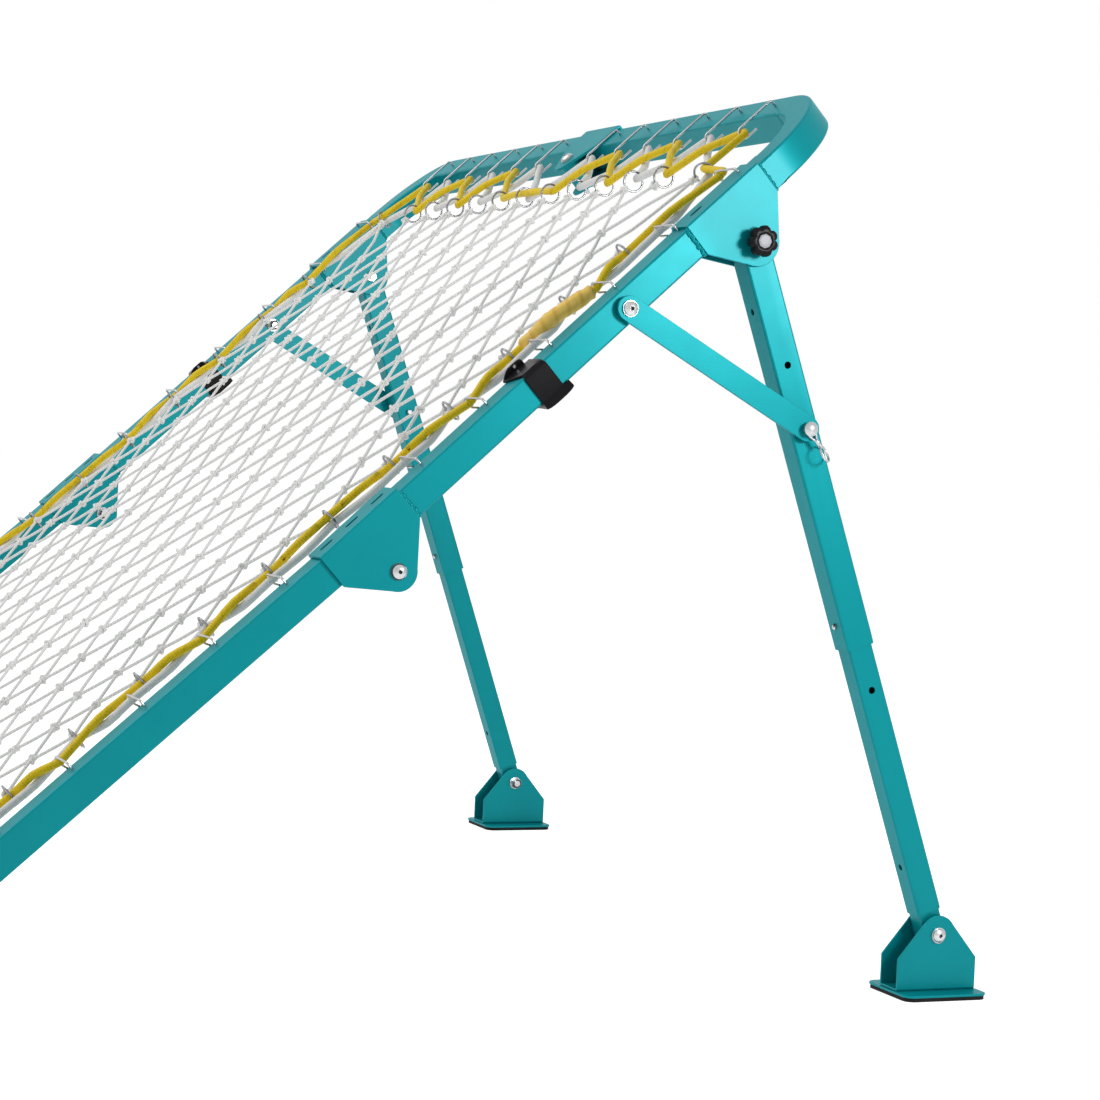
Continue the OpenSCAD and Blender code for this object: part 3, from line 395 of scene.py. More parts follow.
def smoothPath(stations, steps, closed):
    # centripetal Catmull-Rom curve through the stations
    count = len(stations)
    path = []
    for i in range(count if closed else count - 1):
        if closed:
            p0, p1, p2, p3 = (stations[(i + k) % count] for k in (-1, 0, 1, 2))
        else:
            p1, p2 = stations[i], stations[i + 1]
            p0 = stations[i - 1] if i > 0 else 2 * p1 - p2
            p3 = stations[i + 2] if i + 2 < count else 2 * p2 - p1
        t1 = (p1 - p0).length ** 0.5
        t2 = t1 + (p2 - p1).length ** 0.5
        t3 = t2 + (p3 - p2).length ** 0.5
        for k in range(steps):
            t = t1 + (t2 - t1) * k / steps
            a1 = p0 * ((t1 - t) / t1) + p1 * (t / t1)
            a2 = p1 * ((t2 - t) / (t2 - t1)) + p2 * ((t - t1) / (t2 - t1))
            a3 = p2 * ((t3 - t) / (t3 - t2)) + p3 * ((t - t2) / (t3 - t2))
            b1 = a1 * ((t2 - t) / t2) + a2 * (t / t2)
            b2 = a2 * ((t3 - t) / (t3 - t1)) + a3 * ((t - t1) / (t3 - t1))
            path.append(b1 * ((t2 - t) / (t2 - t1)) + b2 * ((t - t1) / (t2 - t1)))
    if not closed:
        path.append(stations[-1].copy())
    return path


def skinned(rings, closed=False, along=None):
    # rings of points joined in turn, with a face on each open end
    # U goes round, V is what along gives each ring, or else its number
    around, count = len(rings[0]), len(rings)
    along = along or range(count + 1)
    faces, uvs = [], []
    for i in range(count if closed else count - 1):
        j = (i + 1) % count
        for k in range(around):
            m = (k + 1) % around
            faces.append((i * around + k, i * around + m, j * around + m, j * around + k))
            u0, u1 = k / around, (k + 1) / around
            uvs += [(u0, along[i]), (u1, along[i]), (u1, along[i + 1]), (u0, along[i + 1])]
    if not closed:
        faces += [tuple(reversed(range(around))), tuple((count - 1) * around + k for k in range(around))]
        uvs += [(0.5, along[0])] * around + [(0.5, along[count - 1])] * around
    return [p for ring in rings for p in ring], faces, uvs


def sweep(path, radius, around, closed=False, pitch=0.01):
    # round tube along a path; U goes round it, V counts pitches along it
    count = len(path)
    tangents = []
    for i in range(count):
        ahead = path[(i + 1) % count] if closed or i + 1 < count else path[i]
        behind = path[i - 1] if closed or i > 0 else path[i]
        tangents.append((ahead - behind).normalized())
    normals = [tangents[0].orthogonal().normalized()]
    for i in range(1, count):
        normal = tangents[i - 1].rotation_difference(tangents[i]) @ normals[-1]
        normals.append((normal - tangents[i] * normal.dot(tangents[i])).normalized())
    twist = 0.0
    if closed:
        last = tangents[-1].rotation_difference(tangents[0]) @ normals[-1]
        twist = atan2(tangents[0].dot(last.cross(normals[0])), last.dot(normals[0]))
    lengths = [0.0]
    for i in range(1, count + 1 if closed else count):
        lengths.append(lengths[-1] + (path[i % count] - path[i - 1]).length)
    pitches = lengths[-1] / pitch
    scale = (max(1, round(pitches)) / pitches if closed else 1.0) / pitch
    rings = []
    for i in range(count):
        normal = Matrix.Rotation(twist * i / count, 3, tangents[i]) @ normals[i]
        side = tangents[i].cross(normal)
        r = radius[i] if isinstance(radius, list) else radius
        rings.append([path[i] + r * (cos(a) * normal + sin(a) * side) for a in turns(around)])
    return skinned(rings, closed, [length * scale for length in lengths])


def lathe(levels, around, outline=None):
    # turned shape up the Z axis from (height, radius, waviness) levels
    rings = []
    for height, radius, wave in levels:
        reach = [radius * (1 + wave * (outline(a) if outline else 0.0)) for a in turns(around)]
        rings.append([Vector((r * cos(a), r * sin(a), height)) for r, a in zip(reach, turns(around))])
    return skinned(rings)


def moved(part, matrix):
    points, faces, uvs = part
    if matrix.determinant() > 0:
        return [matrix @ p for p in points], faces, uvs
    flippedUvs, at = [], 0
    for face in faces:
        flippedUvs += list(reversed(uvs[at:at + len(face)]))
        at += len(face)
    return [matrix @ p for p in points], [tuple(reversed(face)) for face in faces], flippedUvs


def settled(obj, name):
    # plain mesh of an object with its modifiers
    graph = bpy.context.evaluated_depsgraph_get()
    graph.update()
    mesh = bpy.data.meshes.new_from_object(obj.evaluated_get(graph), preserve_all_data_layers=True,
                                           depsgraph=graph)
    mesh.name = name
    source = obj.data
    bpy.data.objects.remove(obj)
    bpy.data.meshes.remove(source)
    return addObject(name, mesh)


# rigid pieces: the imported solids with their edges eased

coated = {"finish": tealCoat, "slot": "teal_coat"}
easing = {"merge": 0.00002, "flat": radians(0.6), "crease": radians(40), "sharp": radians(38),
          "room": 0.0004, "shading": 80}
anyLength = 9.0  # longer than any edge
# passes of (shortest edge, longest edge, radius, segments)
tubeEase = [(0.0045, 0.012, 0.003, 3), (0.045, anyLength, 0.003, 3)]  # bend edges, then long edges
plateEase = [(0.100, anyLength, 0.0028, 3), (0.0012, 0.099, 0.0007, 2)]
smallEase = [(0.0012, anyLength, 0.0005, 2)]
padEase = [(0.0015, anyLength, 0.0012, 3)]
boltEase = [(0.0012, anyLength, 0.0003, 2)]


def dressed(nodeName, look, passes, rides=True):
    source = nodes[nodeName]
    low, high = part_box(nodeName)
    for ease in (passes, []):
        shape = bmesh.new()
        shape.from_mesh(source.data)
        bmesh.ops.remove_doubles(shape, verts=shape.verts, dist=easing["merge"])
        bmesh.ops.dissolve_limit(shape, angle_limit=easing["flat"], verts=shape.verts, edges=shape.edges)
        for shortest, longest, offset, segments in ease:
            edges = [e for e in shape.edges if len(e.link_faces) == 2 and e.is_convex
                     and e.calc_face_angle(0.0) > easing["crease"] and shortest <= e.calc_length() <= longest]
            bmesh.ops.bevel(shape, geom=edges, offset=offset, offset_type="OFFSET", segments=segments,
                            profile=0.5, affect="EDGES", clamp_overlap=False, loop_slide=True, material=-1)
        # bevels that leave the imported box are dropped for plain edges
        if all(low[k] - easing["room"] <= v.co[k] <= high[k] + easing["room"]
               for v in shape.verts for k in range(3)):
            break
        shape.free()
    mesh = bpy.data.meshes.new(nodeName + "_body")
    shape.to_mesh(mesh)
    shape.free()
    painted(mesh, look["finish"]).set_sharp_from_angle(angle=easing["sharp"])
    obj = addObject(nodeName + "_shape", mesh)
    even = obj.modifiers.new("evenShading", "WEIGHTED_NORMAL")
    even.keep_sharp = True
    even.weight = easing["shading"]
    obj = settled(obj, nodeName + "_finished")
    if rides:
        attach(obj, source["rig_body"])
    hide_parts(nodeName)
    if not ease and passes:
        print("left with plain edges:", nodeName)
    return obj


socketRoom = {"r": 0.0036, "from": 0.0006, "to": 0.006}


def shadeSocket(bolt):
    # the wall and floor of a bolt's drive socket get a dark finish: painted shade in the recess
    low, high = ([pick(v.co[k] for v in bolt.data.vertices) for k in range(3)] for pick in (min, max))
    axis = max(range(3), key=lambda k: high[k] - low[k])
    across = [k for k in range(3) if k != axis]
    bolt.data.materials.append(socketPaintedShade)
    for face in bolt.data.polygons:
        off = hypot(*((face.center[k] - (low[k] + high[k]) / 2) for k in across))
        depth = min(high[axis] - face.center[axis], face.center[axis] - low[axis])
        if off < socketRoom["r"] and socketRoom["from"] < depth < socketRoom["to"]:
            face.material_index = 1


def both(*names):
    return [f"{name}_{side}" for name in names for side in sides]


tubePieces = ["upper_left_tube", "upper_right_tube", "lower_left_tube", "lower_right_tube",
              *both("leg_outer", "leg_slider")]
platePieces = ["top_bar_bracket", "bottom_bar_bracket",
               *both("side_hinge_bracket", "leg_bracket", "foot_bracket")]
barPieces = ["top_bar_lug", "bottom_bar_lug", *both("side_hinge_lug", "leg_tongue", "brace", "foot_base")]
zincPieces = ["top_bar_bolt", "bottom_bar_bolt",
              *both("side_hinge_bolt", "leg_pivot_bolt", "foot_bolt", "brace_bolt", "lock_pin", "snap_button")]
for names, ease in ((tubePieces, tubeEase), (platePieces, plateEase), (barPieces, smallEase)):
    for name in names:
        dressed(name, coated, ease)
for name in both("foot_pad"):
    dressed(name, {"finish": blackRubber, "slot": "black_rubber"}, padEase)
for name in zincPieces:
    shadeSocket(dressed(name, {"finish": zincPlate, "slot": "zinc_plate"}, boltEase))
for side in sides:
    spring = dressed(f"button_spring_{side}", {"finish": springSteel, "slot": "spring_steel"}, [], False)
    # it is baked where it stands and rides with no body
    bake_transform(spring)
print("rigid pieces dressed")


# clips that the folded legs rest on

clip = {"at": 0.282, "half": 0.0233, "wall": 0.003, "corner": 0.0075, "rim": 0.0009, "ease": 0.0006,
        "topHalf": 0.0155, "lowHalf": 0.019, "earHole": (-0.004, 0.0273), "holeR": 0.0022,
        "saddle": (-0.018, 0.026), "lip": 0.0052, "drop": 0.0058, "sharp": radians(35)}


def crossing(start, ray, p, q):
    # distance along a ray to the segment from p to q, or None
    edge = q - p
    slope = ray.x * edge.y - ray.y * edge.x
    if abs(slope) < 1e-12:
        return None
    off = p - start
    t = (off.x * edge.y - off.y * edge.x) / slope
    u = (off.x * ray.y - off.y * ray.x) / slope
    return t if t > 0 and -1e-6 <= u <= 1 + 1e-6 else None


def clipBand():
    # closed band round the tube, widest underneath
    a, c, w, rim = clip["half"] - clip["corner"], clip["corner"], clip["wall"], clip["rim"]
    rings = []
    for quarter in range(4):
        for k in range(7):
            angle = radians(90 * quarter + 2 + 86 * k / 6)
            half = clip["topHalf"] + (clip["lowHalf"] - clip["topHalf"]) * (1 - sin(angle)) / 2
            out = Vector((cos(angle), 0, sin(angle)))
            middle = Vector((copysign(a, out.x), 0, copysign(a, out.z)))
            section = ((-w, -half), (-rim, -half), (0.0, rim - half),
                       (0.0, half - rim), (-rim, half), (-w, half))
            rings.append([middle + (c + d) * out + Vector((0, y, 0)) for d, y in section])
    return skinned(rings, True)


def clipSaddle():
    # saddle under the band, its lips flared round the folded leg
    a, ease, (low, high) = clip["half"], clip["ease"], clip["saddle"]
    rings = []
    for k in range(13):
        f = 2 * k / 12 - 1
        flare = sqrt(max(0.0, 1 - abs(f) ** 3 * 0.8))
        lip, drop = clip["lip"] * flare, clip["drop"] * (0.5 + 0.5 * flare)
        y = (low + high) / 2 + f * (high - low) / 2
        profile = ((a - ease, 0.005), (a + 0.35 * lip, 0.001), (a + lip, -drop * 0.75), (a + lip - ease, -drop),
                   (a + lip - 0.0026, -drop * 0.95), (a - 0.004, -0.0036), (0.0, -0.0026), (0.004 - a, -0.0036),
                   (0.0024 - a, -drop * 0.95), (ease - a, -drop), (-a, -drop * 0.75), (0.0004 - a, 0.001),
                   (0.0012 - a, 0.0026), (0.0, 0.0026), (a - 0.003, 0.0026))
        rings.append([Vector((x, y, z - a)) for x, z in profile])
    return skinned(rings)


def clipWing():
    # wing over the tube's front face, its rims eased
    a, w, ease = clip["half"], clip["wall"], clip["ease"]
    outline = [Vector(p) for p in (
        (-a, 0.008), (-a, -0.026), (0.002 - a, -0.0272), (0.006 - a, -0.0265), (a - 0.009, -0.017),
        (a - 0.004, -0.0145), (a - 0.003, -0.01), (a - 0.003, 0.008))]
    middle = sum(outline, Vector((0, 0))) / len(outline)
    return skinned([[Vector((*(p - inset * (p - middle).normalized()), z)) for p in outline]
                    for z, inset in ((a - w, ease), (a - w + ease, 0.0), (a - ease, 0.0), (a, ease))])


def clipEar():
    # ear with its hole, stood on the wing's inner edge
    a, w, ease, hole = clip["half"], clip["wall"], clip["ease"], Vector(clip["earHole"])
    outline = [Vector(p) for p in (
        (-0.0268, 0.0205), (-0.0262, 0.0232), (-0.0155, 0.0303), (-0.012, 0.0313), (0.004, 0.0313),
        (0.0072, 0.0296), (0.0082, 0.0262), (0.0082, 0.0205))]
    rays = []
    for angle in turns(32):
        ray = Vector((cos(angle), sin(angle)))
        cuts = [crossing(hole, ray, p, q) for p, q in zip(outline, outline[1:] + outline[:1])]
        rays.append((ray, max(t for t in cuts if t)))
    rims = [[Vector((x - a, *(hole + (reach - inset) * ray))) for ray, reach in rays]
            for x, inset in ((0.0, ease), (ease, 0.0), (w - ease, 0.0), (w, ease))]
    inner = [[Vector((x - a, *(hole + clip["holeR"] * ray))) for ray, reach in rays] for x in (0.0, w)]
    return skinned([inner[0], *rims, inner[1]], True)


def makeClip(side):
    place = flips[side] @ upperHalf @ Matrix.Translation((stand["sideX"], clip["at"], -stand["tubeW"] / 2))
    parts = [moved(part, place) for part in (clipBand(), clipSaddle(), clipWing(), clipEar())]
    mesh = meshFrom("legClipForm", parts, blackPlastic)
    shape = bmesh.new()
    shape.from_mesh(mesh)
    bmesh.ops.recalc_face_normals(shape, faces=shape.faces)
    shape.to_mesh(mesh)
    shape.free()
    mesh.set_sharp_from_angle(angle=clip["sharp"])
    obj = addObject(f"leg_clip_{side}_moulding", mesh)
    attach(obj, "upper_frame")
    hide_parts(f"leg_clip_{side}")


for side in sides:
    makeClip(side)
print("clips moulded")


# trees for what repeats

def grow(obj, tree, name, values):
    # runs a tree on an object and keeps the plain mesh
    modifier = obj.modifiers.new(tree.name, "NODES")
    modifier.node_group = tree
    for item in tree.interface.items_tree:
        if item.item_type == "SOCKET" and item.in_out == "INPUT" and item.name in values:
            modifier[item.identifier] = values[item.name]
    return settled(obj, name)


def finishTree(tree, geometry, material, end):
    # every tree closes with plain geometry and its finish
    plain = addNode(tree, "GeometryNodeRealizeInstances", {0: geometry})
    smooth = addNode(tree, "GeometryNodeSetShadeSmooth", {"Geometry": plain.outputs[0]})
    paint = addNode(tree, "GeometryNodeSetMaterial", {"Geometry": smooth.outputs[0], "Material": material})
    feed(tree, end.inputs[0], paint.outputs[0])
    return tree


def makeWireTree():
    # bends one wire form at every point, turned by the point's own turn
    tree, start, end = newTree("wireForms", "GeometryNodeTree", [
        ("Geometry", "Geometry", None),
        ("Form", "Object", None),
        ("Wire Radius", "Float", 0.0015),
        ("Sides", "Int", 8),
        ("Wobble", "Float", 0.0),
        ("Seed", "Int", 4),
        ("Finish", "Material", None),
    ], [("Geometry", "Geometry")])
    given = start.outputs
    info = addNode(tree, "GeometryNodeObjectInfo", {"Object": given["Form"]})
    circle = addNode(tree, "GeometryNodeCurvePrimitiveCircle", {
        "Resolution": given["Sides"], "Radius": given["Wire Radius"]})
    tube = addNode(tree, "GeometryNodeCurveToMesh", {
        "Curve": info.outputs["Geometry"], "Profile Curve": circle.outputs["Curve"], "Fill Caps": True})
    turn = addNode(tree, "GeometryNodeInputNamedAttribute", {"Name": "turn"}, data_type="FLOAT_VECTOR")
    chance = addNode(tree, "FunctionNodeRandomValue", {
        "Min": math2(tree, "MULTIPLY", given["Wobble"], -1.0), "Max": given["Wobble"], "Seed": given["Seed"],
    }, data_type="FLOAT_VECTOR")
    add = addNode(tree, "ShaderNodeVectorMath", {
        0: turn.outputs["Attribute"], 1: chance.outputs["Value"]}, operation="ADD")
    place = addNode(tree, "GeometryNodeInstanceOnPoints", {
        "Points": given["Geometry"], "Instance": tube.outputs["Mesh"], "Rotation": add.outputs[0]})
    return finishTree(tree, place.outputs["Instances"], given["Finish"], end)


def makeWeldTree():
    # overlapping drops along a seam
    tree, start, end = newTree("weldSeam", "GeometryNodeTree", [
        ("Geometry", "Geometry", None),
        ("Step", "Float", 0.003),
        ("Drop Size", "Float", 0.0026),
        ("Smallest", "Float", 0.85),
        ("Largest", "Float", 1.15),
        ("Seed", "Int", 7),
        ("Finish", "Material", None),
    ], [("Geometry", "Geometry")])
    given = start.outputs
    curve = addNode(tree, "GeometryNodeMeshToCurve", {"Mesh": given["Geometry"]})
    spaced = addNode(tree, "GeometryNodeResampleCurve", {
        "Curve": curve.outputs["Curve"], "Length": given["Step"]}, mode="LENGTH")
    drop = addNode(tree, "GeometryNodeMeshIcoSphere", {"Radius": given["Drop Size"], "Subdivisions": 2})
    size = addNode(tree, "FunctionNodeRandomValue", {
        2: given["Smallest"], 3: given["Largest"], "Seed": given["Seed"]}, data_type="FLOAT")
    place = addNode(tree, "GeometryNodeInstanceOnPoints", {
        "Points": spaced.outputs["Curve"], "Instance": drop.outputs["Mesh"], "Scale": size.outputs[1]})
    return finishTree(tree, place.outputs["Instances"], given["Finish"], end)


wireForms = makeWireTree()
weldSeam = makeWeldTree()


def wireForm(name, path, closed=False):
    # a bent wire's middle line, kept out of the scene
    curve = bpy.data.curves.new(name, "CURVE")
    curve.dimensions = "3D"
    line = curve.splines.new("POLY")
    line.points.add(len(path) - 1)
    for point, co in zip(line.points, path):
        point.co = (*co, 1.0)
    line.use_cyclic_u = closed
    return bpy.data.objects.new(name, curve)


def pointCloud(name, places):
    # one point for each matrix, with its turn
    mesh = bpy.data.meshes.new(name)
    mesh.from_pydata([tuple(m.translation) for m in places], [], [])
    turn = mesh.attributes.new("turn", "FLOAT_VECTOR", "POINT")
    turn.data.foreach_set("vector", [a for m in places for a in m.to_euler("XYZ")])
    return addObject(name, mesh)


# lacing: hooks, rings, net and cords

lacing = {
    "hooksHalf": 6, "sidePitch": 0.108, "endPitch": 0.1, "hookBase": 0.02, "hookReach": 0.056, "hookRise": 0.01,
    "elbowR": 0.003, "bendR": 0.0075, "hookReturn": 0.017, "hookTip": 0.007, "hookWire": 0.0015,
    "ringsHalf": 5, "ringR": 0.0135, "ringWire": 0.0015, "seat": 0.0003,
    "cells": 13, "netHalfW": 0.64, "netHalfL": 0.647, "netRise": 0.004, "twineR": 0.0021,
    "cordR": 0.005, "cordLift": 0.0054, "slack": 0.0015,
}
netW, netL, netT = lacing["netHalfW"], lacing["netHalfL"], lacing["netRise"]
cellW, cellL = 2 * netW / lacing["cells"], 2 * netL / lacing["cells"]
hookFootX, hookFootY = (stand[k] - lacing["hookBase"] for k in ("halfW", "halfL"))
hookOutSide, hookOutEnd = (foot - lacing["hookReach"] for foot in (hookFootX, hookFootY))
hookT = lacing["hookRise"] - lacing["bendR"]


def arc(centre, radius, start, stop, steps):
    # points on an arc in the XZ plane, angles in degrees
    angles = [radians(start + (stop - start) * k / steps) for k in range(steps + 1)]
    return [centre + Vector((radius * cos(a), 0, radius * sin(a))) for a in angles]


def hookPath():
    rise, reach, bend, elbow = (lacing[k] for k in ("hookRise", "hookReach", "bendR", "elbowR"))
    path = [Vector((0, 0, -lacing["hookTip"]))]
    path += arc(Vector((-elbow, 0, rise - elbow)), elbow, 0, 90, 5)
    path += arc(Vector((-reach, 0, hookT)), bend, 90, 270, 12)
    return path + [Vector((lacing["hookReturn"] - reach, 0, hookT - bend))]


def halfPlaces(sign):
    # matrices of the hooks and rings of one half
    half = upperHalf if sign > 0 else lowerHalf @ Matrix.Scale(-1, 4, (0, 1, 0))
    hookPlaces, ringPlaces = [], []
    quarter, eighth = turned(90, "Z"), turned(45, "Z")
    gap = Matrix.Translation((lacing["seat"] + lacing["ringR"] + lacing["ringWire"], 0, netT))

    def put(places, flip, x, y, turn):
        world = half @ flip @ Matrix.Translation((x, y, 0)) @ turn
        if world.determinant() < 0:
            world = world @ Matrix.Scale(-1, 4, (0, 1, 0))
        places.append(world)

    for m, flip in enumerate((Matrix.Identity(4), mirrorX)):
        for k in range(1, lacing["hooksHalf"] + 1):
            put(hookPlaces, flip, hookFootX, k * lacing["sidePitch"], Matrix.Identity(4))
            put(hookPlaces, flip, k * lacing["endPitch"], hookFootY, quarter)
        for j in range(0 if sign > 0 else 1, lacing["ringsHalf"] + 1):
            put(ringPlaces, flip, netW, j * cellL, gap)
        for i in range(1 - m, lacing["ringsHalf"] + 1):
            put(ringPlaces, flip, i * cellW, netL, quarter @ gap)
        put(ringPlaces, flip, netW - cellW / 4, netL, eighth @ gap)
    return hookPlaces, ringPlaces


hookForm = wireForm("hookForm", hookPath())
ringForm = wireForm("ringForm", arc(Vector((0, 0, 0)), lacing["ringR"], 0, 360 * 31 / 32, 31), True)
for halfName, sign in (("upper", 1), ("lower", -1)):
    for kind, form, finish, places in zip(("hook", "ring"), (hookForm, ringForm), (hookChrome, ringChrome),
                                          halfPlaces(sign)):
        row = grow(pointCloud(f"{kind}Points", places), wireForms, f"{halfName}_{kind}_row", {
            "Form": form, "Wire Radius": lacing[f"{kind}Wire"], "Sides": 12, "Wobble": 0.0, "Finish": finish})
        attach(row, f"{halfName}_frame")
        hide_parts(f"{halfName}_{kind}s")
print("hooks and rings hung")

knotting = {"seed": 11, "reach": 21, "steps": 5, "drift": 0.0011, "pitch": 0.0065, "knotR": 0.0056,
            "knotWire": 0.0021, "knotIn": 0.0028, "cornerIn": 0.002, "loopR": 0.0031, "loopWire": 0.0013,
            "loopOut": 0.0008, "cornerOut": 0.0006, "knotRise": 0.55, "loopRise": 0.1, "wobble": 0.35,
            "turn": 0.5, "lean": 0.4}


def latticePoint(i, j):
    return Vector((i * cellW / 2, j * cellL / 2, netT))


def makeStrands(rng, corner):
    size, drift, steps = lacing["cells"], knotting["drift"], knotting["steps"]
    parts = []
    for c in range(-knotting["reach"], knotting["reach"] + 1, 2):
        for m in (1, -1):
            line = [(i, (i - c) * m) for i in range(-size, size + 1) if abs((i - c) * m) <= size]
            # the two longest strands of each corner meet at its ring
            for end in (0, -1):
                i, j = line[end]
                if abs(c) == 1 and abs(i) + abs(j) == 2 * size - 1:
                    line[end] = (copysign(corner[0], i), copysign(corner[1], j))
            stations = []
            for a, b in zip(line, line[1:]):
                p, q = latticePoint(*a), latticePoint(*b)
                side = Vector((-(q - p).y, (q - p).x, 0)).normalized()
                bow, lift = rng.uniform(-1, 1) * drift, rng.uniform(-1, 0.6) * drift
                for f in (k / steps for k in range(steps)):
                    stations.append(p.lerp(q, f) + sin(pi * f) * (bow * side + Vector((0, 0, lift))))
            stations.append(latticePoint(*line[-1]))
            parts.append(sweep([onFrame(*p) for p in stations], lacing["twineR"], 6, pitch=knotting["pitch"]))
    return meshFrom("netStrands", parts, whiteTwine)


def placeKnots(rng, corner):
    # matrices of the knots, and of the loops that hold the net's edge to its rings
    size, reach = lacing["cells"], knotting["reach"]
    knots, loops = [], []

    def put(places, spot, shift, turn=Matrix.Identity(4)):
        half = upperHalf if spot.y >= 0 else lowerHalf
        places.append(half @ Matrix.Translation(spot + shift) @ turn)

    for i in range(-size, size + 1):
        for j in range(-size, size + 1):
            far, edge = abs(i) + abs(j), size in (abs(i), abs(j))
            if (i + j) % 2 == 0 or far > reach + 2 or (far > reach and not edge):
                continue
            outward = Vector([copysign(1, k) if abs(k) == size else 0 for k in (i, j)] + [0])
            turn = (Matrix.Rotation(rng.uniform(-1, 1) * knotting["turn"], 4, "Z")
                    @ Matrix.Rotation(rng.uniform(-1, 1) * knotting["lean"], 4, "X"))
            put(knots, latticePoint(i, j), -knotting["knotIn"] * outward, turn)
            if edge:
                put(loops, latticePoint(i, j), knotting["loopOut"] * outward)
    for x in (-1, 1):
        for y in (-1, 1):
            spot = latticePoint(x * corner[0], y * corner[1])
            put(knots, spot, -knotting["cornerIn"] * Vector((x, y, 0)))
            put(loops, spot, knotting["cornerOut"] * Vector((x, y, 0)))
    return knots, loops


def makeNet():
    rng = random.Random(knotting["seed"])
    corner = (lacing["cells"] - 0.5, lacing["cells"])
    strands = makeStrands(rng, corner)
    knots, loops = placeKnots(rng, corner)
    knotForm = wireForm("knotForm", [knotting["knotR"] * Vector((
        (sin(a) + 2 * sin(2 * a)) / 3, (cos(a) - 2 * cos(2 * a)) / 3,
        -sin(3 * a) * knotting["knotRise"])) for a in turns(20)], True)
    loopForm = wireForm("loopForm", [knotting["loopR"] * Vector((
        cos(a), sin(a), knotting["loopRise"] * sin(2 * a))) for a in turns(12)], True)
    whole = bmesh.new()
    whole.from_mesh(strands)
    for kind, places, form, wobble in (("knot", knots, knotForm, knotting["wobble"]),
                                       ("loop", loops, loopForm, 0.0)):
        extra = grow(pointCloud(f"{kind}Points", places), wireForms, f"{kind}Mesh", {
            "Form": form, "Wire Radius": knotting[f"{kind}Wire"], "Sides": 6, "Wobble": wobble,
            "Finish": whiteTwine})
        whole.from_mesh(extra.data)
        bpy.data.objects.remove(extra)
    mesh = bpy.data.meshes.new("knotted_net")
    whole.to_mesh(mesh)
    whole.free()
    return addObject("knotted_net", painted(mesh, whiteTwine))


net = makeNet()
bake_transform(net)
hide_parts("net")
print("net knotted,", len(net.data.polygons), "faces")

stackT = lacing["cordR"] + lacing["seat"]
cordRoom = lacing["ringR"] - lacing["ringWire"] - lacing["cordR"] - lacing["seat"]
toRingMiddle = lacing["seat"] + lacing["ringR"] + lacing["ringWire"]
cordInRing = toRingMiddle + cordRoom + lacing["seat"] - lacing["slack"]
cordsInRing = toRingMiddle + sqrt(cordRoom ** 2 - stackT ** 2) - lacing["slack"]
crossT = (hookT + netT) / 2


def cordStation(i, odd, pitch, cell, hookOut, ringOut):
    # yellow takes every other hook and the rings between, white takes the rest, and both take the middle ring
    if i != 0 and abs(i) % 2 == odd:
        return Vector((i * pitch, hookOut + 2 * lacing["seat"], hookT))
    if i == 0:
        return Vector((0, ringOut - cordInRing + cordsInRing, netT + (1 - 2 * odd) * stackT))
    return Vector((i * cell, ringOut, netT))


def cordCrossing(a, b, odd):
    return Vector(((a.x + b.x) / 2, (a.y + b.y) / 2, crossT + (1 - 2 * odd) * lacing["cordLift"]))


def cordEdge(odd, pitch, cell, hookOut, ringOut):
    last = lacing["hooksHalf"] - odd
    stops = [cordStation(i, odd, pitch, cell, hookOut, ringOut) for i in range(-last, last + 1)]
    lastHook = Vector((lacing["hooksHalf"] * pitch, hookOut, hookT))
    if odd == 0:
        far = lastHook + Vector((2 * lacing["cordR"], 2 * lacing["seat"] - lacing["cordR"], 0))
    else:
        far = cordCrossing(Vector((lacing["ringsHalf"] * cell, ringOut, 0)), lastHook, odd)
    stations = [Vector((-far.x, far.y, far.z))]
    for a, b in zip(stops, stops[1:]):
        stations += [a, cordCrossing(a, b, odd)]
    return stations + [stops[-1], far]


def cordRoute(odd):
    # once round: right side, upper end, left side, lower end, with a ring at each corner
    side = cordEdge(odd, lacing["sidePitch"], cellL, hookOutSide, netW + cordInRing)
    end = cordEdge(odd, lacing["endPitch"], cellW, hookOutEnd, netL + cordInRing)
    reach = cordsInRing / sqrt(2)
    cornerX, cornerY = netW - cellW / 4 + reach, netL + reach
    route = []
    for x, y in ((1, 1), (-1, 1), (-1, -1), (1, -1)):
        if x == y:
            route += [Vector((x * p.y, x * p.x, p.z)) for p in side]
        else:
            route += [Vector((x * p.x, y * p.y, p.z)) for p in end]
        route.append(Vector((x * cornerX, y * cornerY, netT + (1 - 2 * odd) * stackT)))
    return route


# a turn or bow reaches a length along the cord, but no more than a share of the way to the next station
cordLook = {"around": 12, "pitch": 0.0075, "turn": (0.011, 0.3), "bow": (0.034, 0.6),
            "bowBelow": radians(24)}
sleeve = {"seed": 5, "steps": 12, "station": 19, "from": 28, "to": 79, "around": 28, "pitch": 0.019,
          "endR": 0.0052, "r": 0.0088, "endRise": 12, "endStart": 0.2, "swell": 0.0012, "wave": 0.0005,
          "waves": 19, "crinkle": 0.0002, "lump": 0.0011, "lumpScale": 130}


def tautPath(stations, steps):
    # straight runs, with a short turn at each hook and ring and a slow bow where one cord passes the other
    held = []
    for i, p in enumerate(stations):
        before, after = stations[i - 1], stations[(i + 1) % len(stations)]
        bows = (p - before).angle(after - p) < cordLook["bowBelow"]
        longest, share = cordLook["bow" if bows else "turn"]
        ends = [p + min(longest, share * (q - p).length) * (q - p).normalized() for q in (before, after)]
        held += [ends[0], p, ends[1]]
    return smoothPath(held, steps, True)


